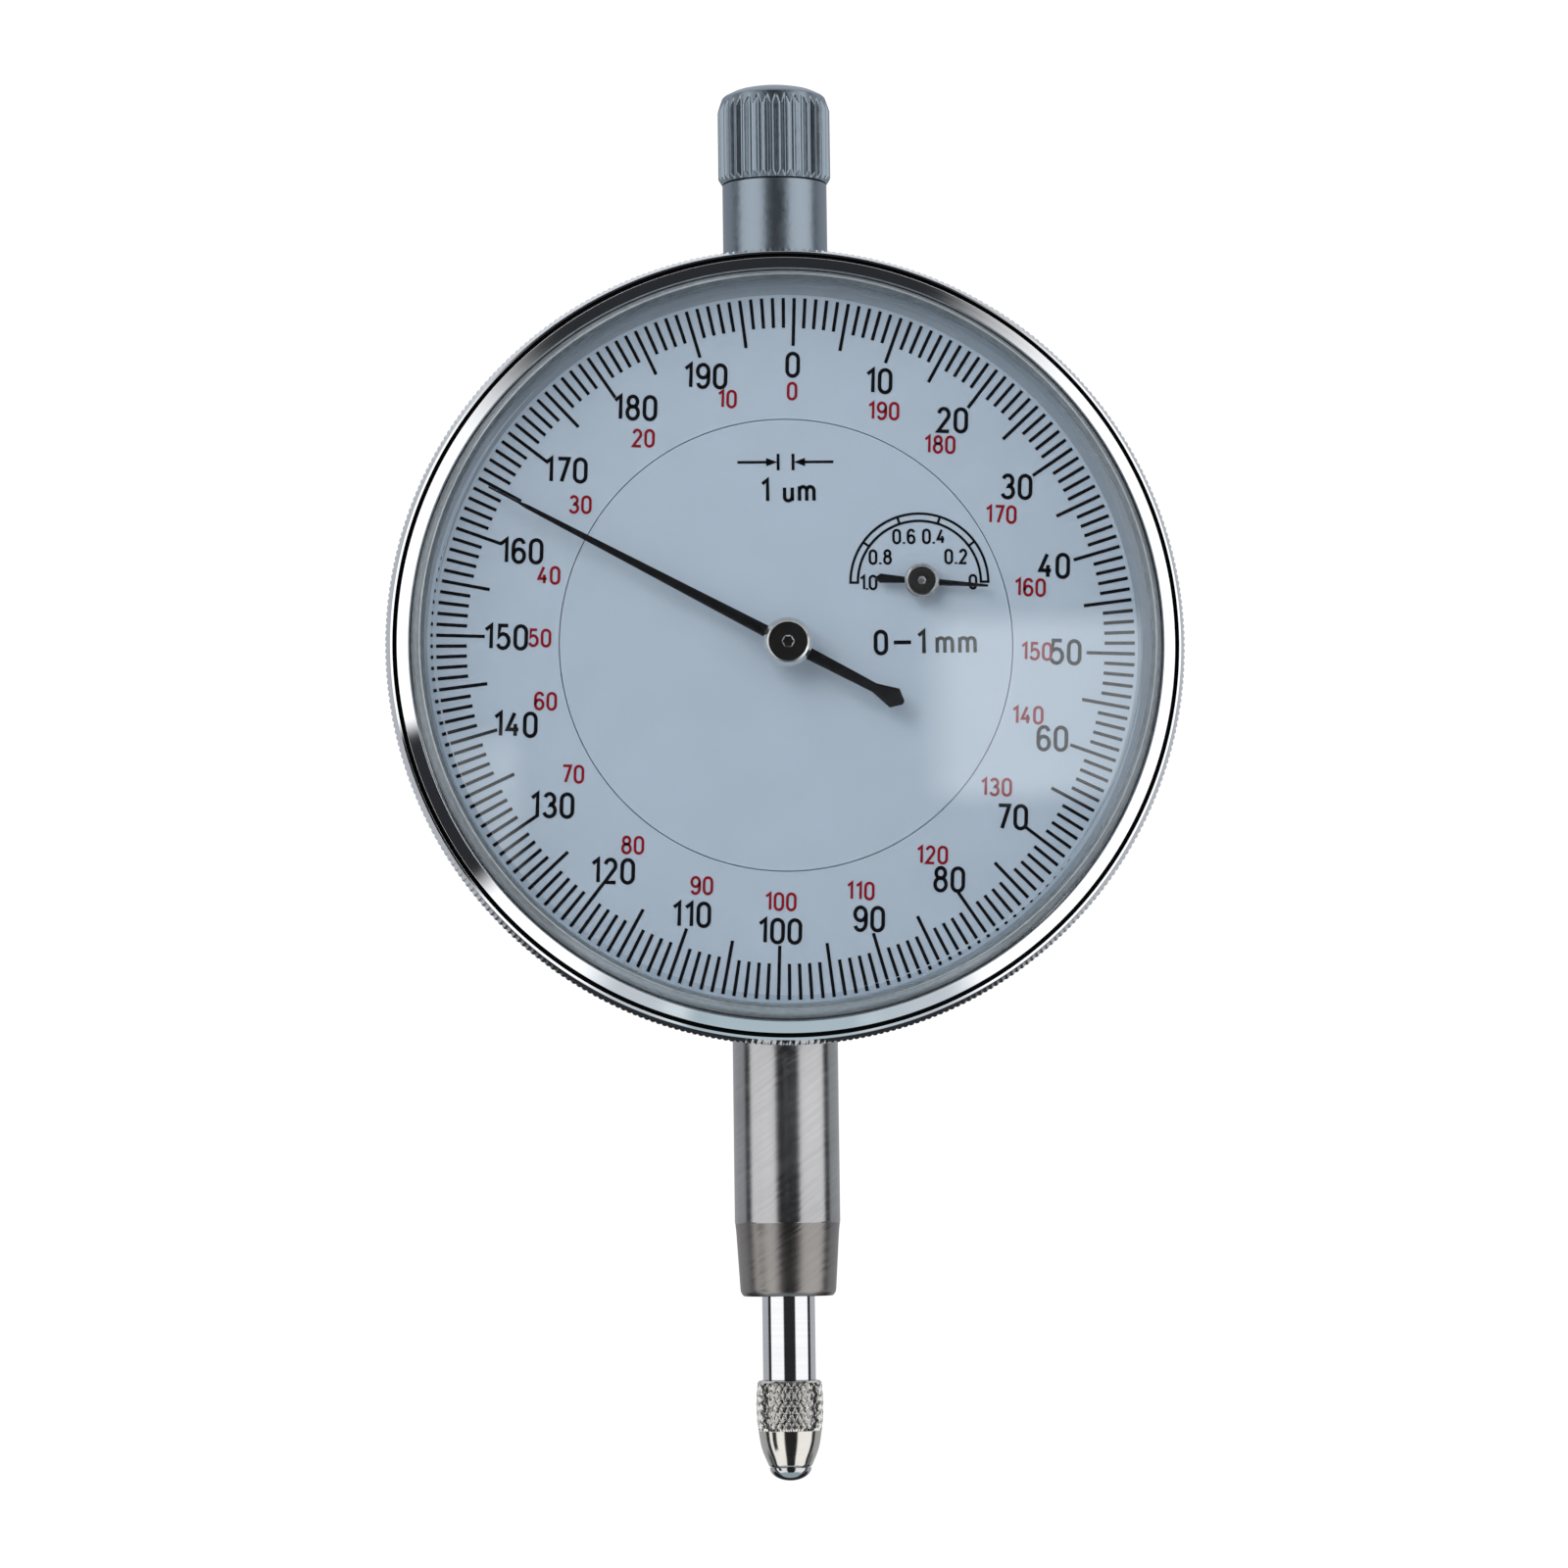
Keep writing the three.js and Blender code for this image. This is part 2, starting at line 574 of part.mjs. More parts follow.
function pinionArbor(teeth, first, width, pinionLayer, arborLayer) {
  const pinion = plate(new THREE.Shape(toothCorners(teeth, first, width)), pinionLayer);
  return join(pinion, rod(ARBOR_RADIUS, arborLayer));
}

// A toothed rim on one arm. While the spindle travels, the arm turns clockwise under the pinion, so
// the rim reaches the whole swing past the point where it meshes at rest.
function sectorGear() {
  const toothAngle = 2 * Math.PI / SECTOR_FULL_TEETH;
  const spareTeeth = 2;
  const first = SECTOR_MESH_ANGLE - spareTeeth * toothAngle;
  const count = Math.ceil(SECTOR_SWING / toothAngle) + 2 * spareTeeth + 1;
  const last = first + (count - 1) * toothAngle;
  const middle = (first + last) / 2;
  const rim = 16.8;
  const hub = 2.2;
  const armHalf = 1.2;
  const armAtRim = armHalf / rim;
  const armAtHub = armHalf / hub;
  const arc = (radius, from, to, steps) => Array.from(
    { length: steps + 1 }, (_, i) => polar(radius, from + (to - from) * i / steps));
  const outline = new THREE.Shape([
    ...toothCorners(SECTOR_FULL_TEETH, first, PINION_TOOTH, count),
    ...arc(rim, last + toothAngle / 2, middle + armAtRim, 3),
    ...arc(hub, middle + armAtHub, middle - armAtHub + 2 * Math.PI, 12),
    ...arc(rim, middle - armAtRim, first - toothAngle / 2, 3),
  ]);
  outline.holes.push(circleHole(CENTRE, ARBOR_BORE));
  return plate(outline, [REAR_WHEEL[0], REAR_WHEEL[1] + 0.1]);
}

// The push pin's axis stays on the lever's centre line, so the flank is one pin radius above it.
function leverArm() {
  const contact = -(PUSH_PIN_RADIUS + 0.06);
  const thickness = 1.1;
  const reach = LEVER_LENGTH + 0.7;
  const arm = new THREE.Shape([
    new THREE.Vector2(0.2, contact), new THREE.Vector2(0.2, contact - thickness / 2),
    new THREE.Vector2(reach, contact - thickness), new THREE.Vector2(reach, contact),
  ]);
  return cut(
    join(plate(arm, LEVER), rod(1.5, LEVER, ROD_SEGMENTS)),
    rod(ARBOR_BORE, [LEVER[0] - 1, LEVER[1] + 1]),
  );
}

function buildTrain() {
  const wheelTooth = Math.PI / WHEEL_TEETH;
  const pinionTooth = Math.PI / PINION_TEETH;
  const pinionLayer = [REAR_WHEEL[0] - 0.2, REAR_WHEEL[1] + 0.3];
  const centrePinionLayer = [FRONT_WHEEL[0] - 0.2, REAR_WHEEL[1] + 0.2];

  const lever = piece('lever_arm', 'sector', leverArm(), 'polishedSteel');
  lever.rotation.y = -LEVER_ANGLE;
  piece('sector_gear', 'sector', sectorGear(), 'brass');
  piece('sector_arbor', 'sector', rod(ARBOR_RADIUS, [ARBOR_FRONT, LEVER[1] + 0.1]), 'polishedSteel');

  const pinionFirst = SECTOR_MESH_ANGLE + Math.PI + pinionTooth;
  const counterArbor = pinionArbor(
    PINION_TEETH, pinionFirst, PINION_TOOTH, pinionLayer, [COUNTER_HUB_FRONT + 0.22, ARBOR_BACK]);
  piece('counter_arbor', 'counter', counterArbor, 'polishedSteel');
  piece('counter_gear', 'counter', wheel(COUNTER_ANGLE + Math.PI + wheelTooth, FRONT_WHEEL), 'brass');

  const centreArbor = pinionArbor(
    CENTRE_TEETH, COUNTER_ANGLE, CENTRE_TOOTH, centrePinionLayer, [MAIN_HUB_FRONT + 0.45, ARBOR_BACK]);
  piece('centre_arbor', 'centre', centreArbor, 'polishedSteel');

  const takeupAngle = Math.PI - COUNTER_ANGLE;
  const centrePitch = 2 * Math.PI / CENTRE_TEETH;
  const ahead = THREE.MathUtils.euclideanModulo(COUNTER_ANGLE - takeupAngle, centrePitch);
  const takeupFirst = takeupAngle + Math.PI - ahead * CENTRE_TEETH / WHEEL_TEETH + wheelTooth;
  piece('takeup_gear', 'takeup', wheel(takeupFirst, REAR_WHEEL), 'brass');
  piece('takeup_arbor', 'takeup', rod(ARBOR_RADIUS, [ARBOR_FRONT, ARBOR_BACK]), 'polishedSteel');
  const colletLayer = [FRONT_WHEEL[0] - 0.1, FRONT_WHEEL[1] - 0.1];
  piece('hairspring_collet', 'takeup', collar(1.3, ARBOR_BORE, colletLayer), 'brass');
}

// ---------------------------------------------------------------- hands

// A tapering blade that ends in a needle, with a fish-tail counterweight.
function mainHand() {
  const blade = new THREE.Shape([
    new THREE.Vector2(0, 0.42), new THREE.Vector2(-1, 0.45), new THREE.Vector2(-7.3, 0.32),
    new THREE.Vector2(-9.0, 0.77), new THREE.Vector2(-9.75, 0), new THREE.Vector2(-9.0, -0.77),
    new THREE.Vector2(-7.3, -0.32), new THREE.Vector2(-1, -0.45), new THREE.Vector2(0, -0.42),
    new THREE.Vector2(22, -0.15), new THREE.Vector2(22.6, -0.09), new THREE.Vector2(25.1, -0.07),
    new THREE.Vector2(25.1, 0.07), new THREE.Vector2(22.6, 0.09), new THREE.Vector2(22, 0.15),
  ]);
  const layer = [MAIN_HAND_FRONT, MAIN_HAND_BACK];
  return cut(
    join(plate(blade, layer), rod(1.5, layer)),
    rod(ARBOR_BORE, [layer[0] - 1, layer[1] + 1]),
  );
}

function counterHand() {
  const blade = new THREE.Shape([
    new THREE.Vector2(0, 0.3), new THREE.Vector2(-1, 0.22), new THREE.Vector2(-3.1, 0.35),
    new THREE.Vector2(-3.45, 0), new THREE.Vector2(-3.1, -0.35), new THREE.Vector2(-1, -0.22),
    new THREE.Vector2(0, -0.3), new THREE.Vector2(5.0, -0.09), new THREE.Vector2(5.0, 0.09),
  ]);
  const layer = [COUNTER_HAND_FRONT, COUNTER_HAND_BACK];
  return cut(
    join(plate(blade, layer), rod(1.05, layer)),
    rod(ARBOR_BORE, [layer[0] - 1, layer[1] + 1]),
  );
}

function hub(radius, edge, front, back, socketFront) {
  return turned([
    [0, front], [radius - edge, front], [radius, front + edge],
    [radius, back], [ARBOR_BORE, back], [ARBOR_BORE, socketFront], [0, socketFront],
  ], ROD_SEGMENTS);
}

function buildHands() {
  const mainHandMesh = piece('main_hand', 'centre', mainHand(), 'handBlack');
  mainHandMesh.rotation.y = -MAIN_HAND_ANGLE;
  const mainHub = hub(1.85, 0.3, MAIN_HUB_FRONT, MAIN_HAND_FRONT - 0.1, MAIN_HUB_FRONT + 0.35);
  piece('main_hub', 'centre', mainHub, 'chrome');
  const counterHandMesh = piece('counter_hand', 'counter', counterHand(), 'handBlack');
  counterHandMesh.rotation.y = -COUNTER_HAND_ANGLE;
  const counterHub = hub(
    1.32, 0.15, COUNTER_HUB_FRONT, COUNTER_HAND_FRONT - 0.1, COUNTER_HUB_FRONT + 0.15);
  piece('counter_hub', 'counter', counterHub, 'chrome');
}

// ---------------------------------------------------------------- bezel

function bezelRing() {
  return turned([
    [BEZEL_BORE, DIAL_BACK + 0.2], [BEZEL_SEAT_RADIUS, DIAL_BACK + 0.2], [BEZEL_SEAT_RADIUS, -10.9],
    [BEZEL_SEAT_RADIUS + 0.15, -11.2], [BEZEL_FACE_RADIUS, -10.6], [BEZEL_FACE_RADIUS, -10.0],
    [BEZEL_RIM_RADIUS, -10.0], [BEZEL_RIM_RADIUS, -10.4], [BEZEL_RIM_RADIUS + 0.2, -10.3],
    [BEZEL_RADIUS, -9.2], [BEZEL_RADIUS - 0.15, BEZEL_BACK - 0.6], [BEZEL_RIM_RADIUS, BEZEL_BACK],
    [BEZEL_BORE, BEZEL_BACK], [BEZEL_BORE, SNAP_GROOVE.back],
    [BEZEL_BORE + SNAP_GROOVE.depth, SNAP_GROOVE.back],
    [BEZEL_BORE + SNAP_GROOVE.depth, SNAP_GROOVE.front], [BEZEL_BORE, SNAP_GROOVE.front],
  ], RIM_SEGMENTS);
}

function crystal() {
  const wall = 26.9;
  const seat = DIAL_FRONT - 0.2;
  return turned([
    [0, CRYSTAL_FRONT], [CRYSTAL_FLAT_RADIUS, CRYSTAL_FRONT], [CRYSTAL_SHOULDER_RADIUS, CRYSTAL_FRONT + 0.2],
    [CRYSTAL_RADIUS, -11.2], [CRYSTAL_RADIUS, seat], [wall, seat],
    [wall, CRYSTAL_INNER + 0.3], [wall - 0.3, CRYSTAL_INNER], [0, CRYSTAL_INNER],
  ], RIM_SEGMENTS);
}

function buildBezel() {
  const dialEdge = BEZEL_SEAT_RADIUS - 0.2;
  const snapLayer = [SNAP_GROOVE.front + GAP, SNAP_GROOVE.back - GAP];
  const snapRing = collar(BEZEL_BORE + 0.3, NECK_RADIUS - 0.3, snapLayer, RIM_SEGMENTS);
  const dialRing = collar(dialEdge, DIAL_SPLIT_RADIUS + 0.05, [DIAL_FRONT, DIAL_BACK], RIM_SEGMENTS);
  piece('bezel_ring', 'bezel', bezelRing(), 'chrome');
  piece('crystal', 'bezel', crystal(), 'crystal');
  piece('dial_ring', 'bezel', dialRing, 'dialPaint');
  piece('bezel_snap_ring', 'bezel', snapRing, 'satinSteel');
}

buildCasing();
buildSpindle();
buildTrain();
buildHands();
buildBezel();

export default indicator;
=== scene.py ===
"""The looks of a one-micron dial indicator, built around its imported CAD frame.

Lengths are millimetres, turned into metres where a mesh is made. On the dial, x is to the right
and z is up from the dial's centre; y is the frame's own, with the front of the dial towards -y.
Heights along the spindle are also measured from the dial's centre.
"""
import json
import math

import bmesh
import bpy
from mathutils import Matrix, Vector

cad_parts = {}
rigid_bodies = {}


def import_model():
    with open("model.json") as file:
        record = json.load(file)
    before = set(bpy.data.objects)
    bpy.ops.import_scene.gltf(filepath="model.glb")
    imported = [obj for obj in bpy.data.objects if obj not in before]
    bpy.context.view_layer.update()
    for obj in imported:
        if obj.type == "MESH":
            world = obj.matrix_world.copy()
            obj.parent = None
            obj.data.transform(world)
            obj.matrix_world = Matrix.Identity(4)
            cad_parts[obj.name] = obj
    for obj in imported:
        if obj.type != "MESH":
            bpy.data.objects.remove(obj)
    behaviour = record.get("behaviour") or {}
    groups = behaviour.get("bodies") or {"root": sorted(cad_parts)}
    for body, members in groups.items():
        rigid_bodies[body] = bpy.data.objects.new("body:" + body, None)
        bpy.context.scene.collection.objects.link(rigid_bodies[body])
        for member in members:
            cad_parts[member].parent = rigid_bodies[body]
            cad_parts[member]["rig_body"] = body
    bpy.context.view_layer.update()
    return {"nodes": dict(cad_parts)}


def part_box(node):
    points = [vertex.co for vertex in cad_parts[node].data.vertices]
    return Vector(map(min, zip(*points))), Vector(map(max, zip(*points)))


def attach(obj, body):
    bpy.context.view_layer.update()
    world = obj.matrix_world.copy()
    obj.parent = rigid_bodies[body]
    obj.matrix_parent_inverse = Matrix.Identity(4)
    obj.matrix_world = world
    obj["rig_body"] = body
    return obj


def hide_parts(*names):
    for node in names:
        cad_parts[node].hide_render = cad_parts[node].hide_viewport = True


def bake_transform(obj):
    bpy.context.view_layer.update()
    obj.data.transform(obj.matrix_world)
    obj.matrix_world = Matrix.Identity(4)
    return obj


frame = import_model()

MM = 0.001                # one millimetre in metres


def box_mm(node):
    """Lowest and highest corner of a CAD node, in millimetres."""
    low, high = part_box(node)
    return low / MM, high / MM


def middle(node):
    low, high = box_mm(node)
    return (low + high) / 2


DIAL = middle("dial_disc")
COUNTER = middle("counter_hub") - DIAL
DIAL_FACE = box_mm("dial_disc")[0].y
PRINT = 0.025             # thickness of the dial's printing
RING_TURN = 2.0           # how far the scale on the outer ring is turned clockwise, in degrees
MAIN_HAND_ANGLE = 151.9   # degrees anticlockwise from +x
COUNTER_HAND_ANGLE = -4.4


# ---------------------------------------------------------------- materials

def add(tree, kind, inputs=(), **settings):
    """A new node. inputs maps a socket's name or number to a value or to another socket."""
    node = tree.nodes.new(kind)
    for key, value in settings.items():
        setattr(node, key, value)
    for key, value in dict(inputs).items():
        if isinstance(value, bpy.types.NodeSocket):
            tree.links.new(value, node.inputs[key])
        else:
            node.inputs[key].default_value = value
    return node


def shades(tree, factor, dark, light, low=0.3, high=0.7):
    """A colour between dark and light, by factor."""
    ramp = add(tree, "ShaderNodeValToRGB", {"Fac": factor})
    for stop, place, colour in zip(ramp.color_ramp.elements, (low, high), (dark, light)):
        stop.position, stop.color = place, (*colour, 1)
    return ramp.outputs["Color"]


def surface(name, colour, rough, metal=1.0, grain=(1, 1, 1), scale=900.0, vary=0.12,
            bump=0.05, spun=None, slant=0, **sockets):
    """A material with fine grain and broad uneven patches.

    grain stretches the fine noise along the axes that have small values. spun is the centre
    (x, z) in metres of a face turned on a lathe, whose grain then runs in circles. slant turns the
    grain about y, in degrees.
    """
    material = bpy.data.materials.new(name)
    material.use_nodes = True
    tree = material.node_tree
    shader = tree.nodes["Principled BSDF"]
    place = add(tree, "ShaderNodeTexCoord").outputs["Object"]
    if spun:
        moved = add(tree, "ShaderNodeMapping", {0: place, 1: (-spun[0], 0, -spun[1]), 3: (1, 0, 1)})
        radius = add(tree, "ShaderNodeVectorMath", {0: moved.outputs[0]}, operation="LENGTH")
        fine_place = add(tree, "ShaderNodeCombineXYZ", {0: radius.outputs["Value"]}).outputs[0]
    else:
        slanted = add(tree, "ShaderNodeMapping", {0: place, 2: (0, math.radians(slant), 0)})
        fine_place = add(tree, "ShaderNodeMapping", {0: slanted.outputs[0], 3: grain}).outputs[0]
    fine = add(tree, "ShaderNodeTexNoise", {"Vector": fine_place, "Scale": scale, "Detail": 5.0})
    broad = add(tree, "ShaderNodeTexNoise", {"Vector": place, "Scale": 140.0, "Detail": 3.0})
    mixed = add(tree, "ShaderNodeMath", {0: fine.outputs["Fac"], 1: broad.outputs["Fac"]},
                operation="ADD")
    half = add(tree, "ShaderNodeMath", {0: mixed.outputs[0], 1: 0.5}, operation="MULTIPLY")
    dark = [c * (1 - vary) for c in colour]
    tree.links.new(shades(tree, half.outputs[0], dark, colour), shader.inputs["Base Color"])
    uneven = add(tree, "ShaderNodeMapRange", {0: half.outputs[0], 1: 0.3, 2: 0.7,
                                              3: rough * 0.8, 4: rough * 1.25})
    tree.links.new(uneven.outputs[0], shader.inputs["Roughness"])
    raised = add(tree, "ShaderNodeBump", {"Strength": bump, "Distance": 0.00005,
                                          "Height": fine.outputs["Fac"]})
    tree.links.new(raised.outputs[0], shader.inputs["Normal"])
    shader.inputs["Metallic"].default_value = metal
    for key, value in sockets.items():
        shader.inputs[key.replace("_", " ")].default_value = value
    return material


DIAL_AXIS = (DIAL.x * MM, DIAL.z * MM)
MATERIALS = {
    "bezel_chrome": surface("bezel_chrome", (0.90, 0.92, 0.95), 0.06, spun=DIAL_AXIS, scale=1500,
                            vary=0.06),
    "case_metal": surface("case_metal", (0.55, 0.58, 0.61), 0.28, spun=DIAL_AXIS, scale=2500, bump=0.2),
    "stem_steel": surface("stem_steel", (0.50, 0.50, 0.51), 0.21, grain=(0.25, 0.25, 4), slant=35,
                          bump=0.2, vary=0.25),
    "spindle_steel": surface("spindle_steel", (0.82, 0.83, 0.85), 0.08, grain=(0.1, 0.1, 4)),
    "cap_steel": surface("cap_steel", (0.31, 0.37, 0.43), 0.33, scale=2600, bump=0.3),
    "screw_steel": surface("screw_steel", (0.62, 0.63, 0.64), 0.16, grain=(0.3, 1, 1)),
    "tip_metal": surface("tip_metal", (0.60, 0.61, 0.63), 0.12, grain=(1, 1, 3)),
    "brass": surface("brass", (0.72, 0.52, 0.25), 0.25, grain=(1, 1, 0.1), bump=0.2),
    "bronze": surface("bronze", (0.55, 0.34, 0.18), 0.32, grain=(0.2, 0.2, 3), bump=0.2),
    "jewel": surface("jewel", (0.45, 0.01, 0.05), 0.06, metal=0, Coat_Weight=0.5),
    "dial": surface("dial", (0.46, 0.55, 0.65), 0.5, metal=0, scale=5000, vary=0.05, bump=0.1),
    "hand": surface("hand", (0.006, 0.006, 0.007), 0.12, metal=0, Specular_IOR_Level=0.35),
    "hub_chrome": surface("hub_chrome", (0.80, 0.79, 0.77), 0.13, spun=DIAL_AXIS, scale=2500),
    "spring_steel": surface("spring_steel", (0.36, 0.38, 0.42), 0.2, grain=(3, 3, 0.3)),
}
BLACK_INK = surface("black_ink", (0.005, 0.005, 0.007), 0.5, metal=0, scale=4000, Specular_IOR_Level=0.04)
RED_INK = surface("red_ink", (0.27, 0.010, 0.020), 0.5, metal=0, scale=4000, Specular_IOR_Level=0.04)
CONTACT_STEEL = surface("contact_steel", (0.70, 0.68, 0.64), 0.12, grain=(0.3, 0.3, 3))
HUB_FACE = surface("hub_face", (0.045, 0.042, 0.042), 0.3, spun=DIAL_AXIS, scale=2500)
# Near-black for the narrow groove in the chrome bezel: painted shade in the recess.
GROOVE_SHADE = surface("bezel_groove_painted_shade", (0.02, 0.02, 0.022), 0.35, spun=DIAL_AXIS)
COUNTER_FACE = surface("counter_face", (0.09, 0.087, 0.085), 0.25, scale=2500)
CONE_STEEL = surface("cone_steel", (0.35, 0.33, 0.32), 0.30, grain=(0.25, 0.25, 4), slant=35,
                     bump=0.4, vary=0.3)
KNURL_STEEL = surface("knurl_steel", (0.72, 0.71, 0.69), 0.2, scale=2500)
# The crystal's steep edge is clear acrylic; this opaque grey is painted shade and reflection standing in
# for what is seen in it.
CRYSTAL_EDGE_PAINTED_SHADE = surface("crystal_edge_painted_shade_and_reflection", (0.50, 0.56, 0.60), 0.2, metal=0.3, scale=1800, vary=0.4, bump=0.5)
# A darker blue-grey for the dial's rim: painted shade where the bezel and the crystal's rim shade the
# dial.
RIM_PAINTED_SHADE = surface("dial_rim_painted_shade", (0.30, 0.36, 0.42), 0.5, metal=0, scale=5000, vary=0.05)


def crystal_material(name, tint):
    """Clear acrylic with the faintest unevenness. tint darkens what is seen through it."""
    material = bpy.data.materials.new(name)
    material.use_nodes = True
    tree = material.node_tree
    shader = tree.nodes["Principled BSDF"]
    place = add(tree, "ShaderNodeTexCoord").outputs["Object"]
    haze = add(tree, "ShaderNodeTexNoise", {"Vector": place, "Scale": 300.0, "Detail": 4.0})
    rough = add(tree, "ShaderNodeMapRange", {0: haze.outputs["Fac"], 1: 0.45, 2: 0.8, 3: 0.0, 4: 0.03})
    tree.links.new(rough.outputs[0], shader.inputs["Roughness"])
    tree.links.new(shades(tree, haze.outputs["Fac"], [c * 0.97 for c in tint], tint),
                   shader.inputs["Base Color"])
    shader.inputs["Transmission Weight"].default_value = 1.0
    shader.inputs["IOR"].default_value = 1.49
    return material


MATERIALS["crystal"] = crystal_material("crystal", (0.98, 0.99, 1.0))
# The bevel's glass is tinted darker as painted shade, dimming the rim of the dial seen through it.
CRYSTAL_BEVEL_SHADE = crystal_material("crystal_bevel_painted_shade", (0.66, 0.70, 0.74))


# ---------------------------------------------------------------- mesh tools

def piece(name, verts, faces, body, covers, slot, material=None, smooth=32):
    """A finished mesh object from millimetre points, riding on body and standing for covers."""
    mesh = bpy.data.meshes.new(name)
    mesh.from_pydata([Vector(v) * MM for v in verts], [], faces)
    work = bmesh.new()
    work.from_mesh(mesh)
    bmesh.ops.remove_doubles(work, verts=work.verts, dist=0.002 * MM)
    bmesh.ops.dissolve_degenerate(work, edges=work.edges, dist=0.001 * MM)
    bmesh.ops.recalc_face_normals(work, faces=work.faces)
    work.to_mesh(mesh)
    work.free()
    for polygon in mesh.polygons:
        polygon.use_smooth = True
    mesh.set_sharp_from_angle(angle=math.radians(smooth))
    made = bpy.data.objects.new(name, mesh)
    bpy.context.collection.objects.link(made)
    mesh.materials.append(material or MATERIALS[slot])
    if covers:
        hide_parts(*covers)
    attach(made, body)
    return made


def rounded(points, steps=4, hold=0.03):
    """A line through (r, h) points. A third value rounds that corner, starting that far from it.

    A point just outside each rounded corner keeps the smooth shading of the flat beside it flat.
    """
    line = []
    for i, point in enumerate(points):
        corner = Vector(point[:2])
        if len(point) < 3:
            line.append(corner)
            continue
        ends = []
        for near in (points[i - 1], points[(i + 1) % len(points)]):
            way = Vector(near[:2]) - corner
            ends.append(corner + way.normalized() * min(point[2], way.length / 2 - hold))
        line.append(ends[0] + (ends[0] - corner).normalized() * hold)
        for k in range(steps + 1):
            t = k / steps
            line.append(ends[0] * (1 - t) ** 2 + corner * 2 * t * (1 - t) + ends[1] * t * t)
        line.append(ends[1] + (ends[1] - corner).normalized() * hold)
    return line


def on_dial(centre=Vector((0, 0, 0))):
    """Places a turned point about an axis that stands out of the dial; its height is its y."""
    return lambda r, a, h: (DIAL.x + centre.x + r * math.sin(a), h, DIAL.z + centre.z + r * math.cos(a))


def on_spindle(r, a, h):
    return (r * math.sin(a), -r * math.cos(a), DIAL.z + h)


def turned(line, segments, place, closed=False, wave=None):
    """Verts and faces of a line turned about an axis. wave(r, angle, h) may change the radius."""
    verts, rows = [], len(line)
    for r, h in line:
        for k in range(segments):
            a = 2 * math.pi * k / segments
            verts.append(place(wave(r, a, h) if wave else r, a, h))
    faces = []
    for i in range(rows if closed else rows - 1):
        low, high = i * segments, (i + 1) % rows * segments
        for k in range(segments):
            n = (k + 1) % segments
            faces.append((low + k, low + n, high + n, high + k))
    return verts, faces


def triangle_wave(turns):
    """Runs 0 to 1 and back for each whole turn."""
    return 1 - abs(2 * (turns % 1) - 1)


# ---------------------------------------------------------------- bezel and crystal

SERRATIONS, SERRATION_DEPTH = 400, 0.12
SERRATED_FROM = 29.62                                   # radius outside which the rim is serrated
BEZEL_BORE, BEZEL_LIP, BEZEL_RIM = 25.7, 28.1, 29.98    # radii
BEZEL_BACK, BEZEL_SHELF = -5.0, -8.45                   # y of the back and of the dial ring's shelf
GROOVE_INNER, GROOVE_OUTER, GROOVE_FLOOR = 29.12, 29.38, -9.9
CRYSTAL_FLAT, CRYSTAL_SHOULDER, CRYSTAL_RADIUS = 26.34, 27.4, 28.0
CRYSTAL_FRONT, CRYSTAL_INSIDE, CRYSTAL_BACK = -13.7, -12.2, -9.2


def bezel_wave(r, a, h):
    """Fine serrations on the bezel's outer rim."""
    if r < SERRATED_FROM:
        return r
    return r - SERRATION_DEPTH * (1 - triangle_wave(a / (2 * math.pi) * SERRATIONS)) ** 1.3


def paint_rings(made, centre, material, inner, outer, front, back):
    """Gives another material to the faces between two radii about centre and between two y."""
    made.data.materials.append(material)
    for polygon in made.data.polygons:
        where = polygon.center / MM - centre
        if inner < math.hypot(where.x, where.z) < outer and front < polygon.center.y / MM < back:
            polygon.material_index = len(made.data.materials) - 1


def make_bezel():
    """The bezel ring: a sloping polished face, a groove round it painted near-black as painted shade, and
    a serrated rim.
    """
    line = rounded([
        (BEZEL_LIP, -9.25), (BEZEL_LIP, -11.05, 0.03), (28.2, -11.18, 0.03), (29.08, -10.6, 0.04),
        (GROOVE_INNER, GROOVE_FLOOR), (GROOVE_OUTER, GROOVE_FLOOR), (GROOVE_OUTER, -10.42, 0.02),
        (29.58, -10.29, 0.04), (BEZEL_RIM, -9.3, 0.1), (29.8, -6.2), (29.6, -5.7, 0.2), (29.3, -5.3),
        (29.3, BEZEL_BACK), (27.8, BEZEL_BACK), (BEZEL_BORE, BEZEL_BACK), (BEZEL_BORE, BEZEL_SHELF),
        (BEZEL_LIP, BEZEL_SHELF)], steps=3, hold=0.015)
    bezel = piece("bezel", *turned(line, SERRATIONS * 3, on_dial(), closed=True, wave=bezel_wave),
                  "bezel", ["bezel_ring"], "bezel_chrome", smooth=50)
    # The groove gets painted shade: near-black in place of the chrome.
    paint_rings(bezel, DIAL, GROOVE_SHADE, GROOVE_INNER - 0.02, GROOVE_OUTER + 0.02, -10.58, GROOVE_FLOOR + 0.1)


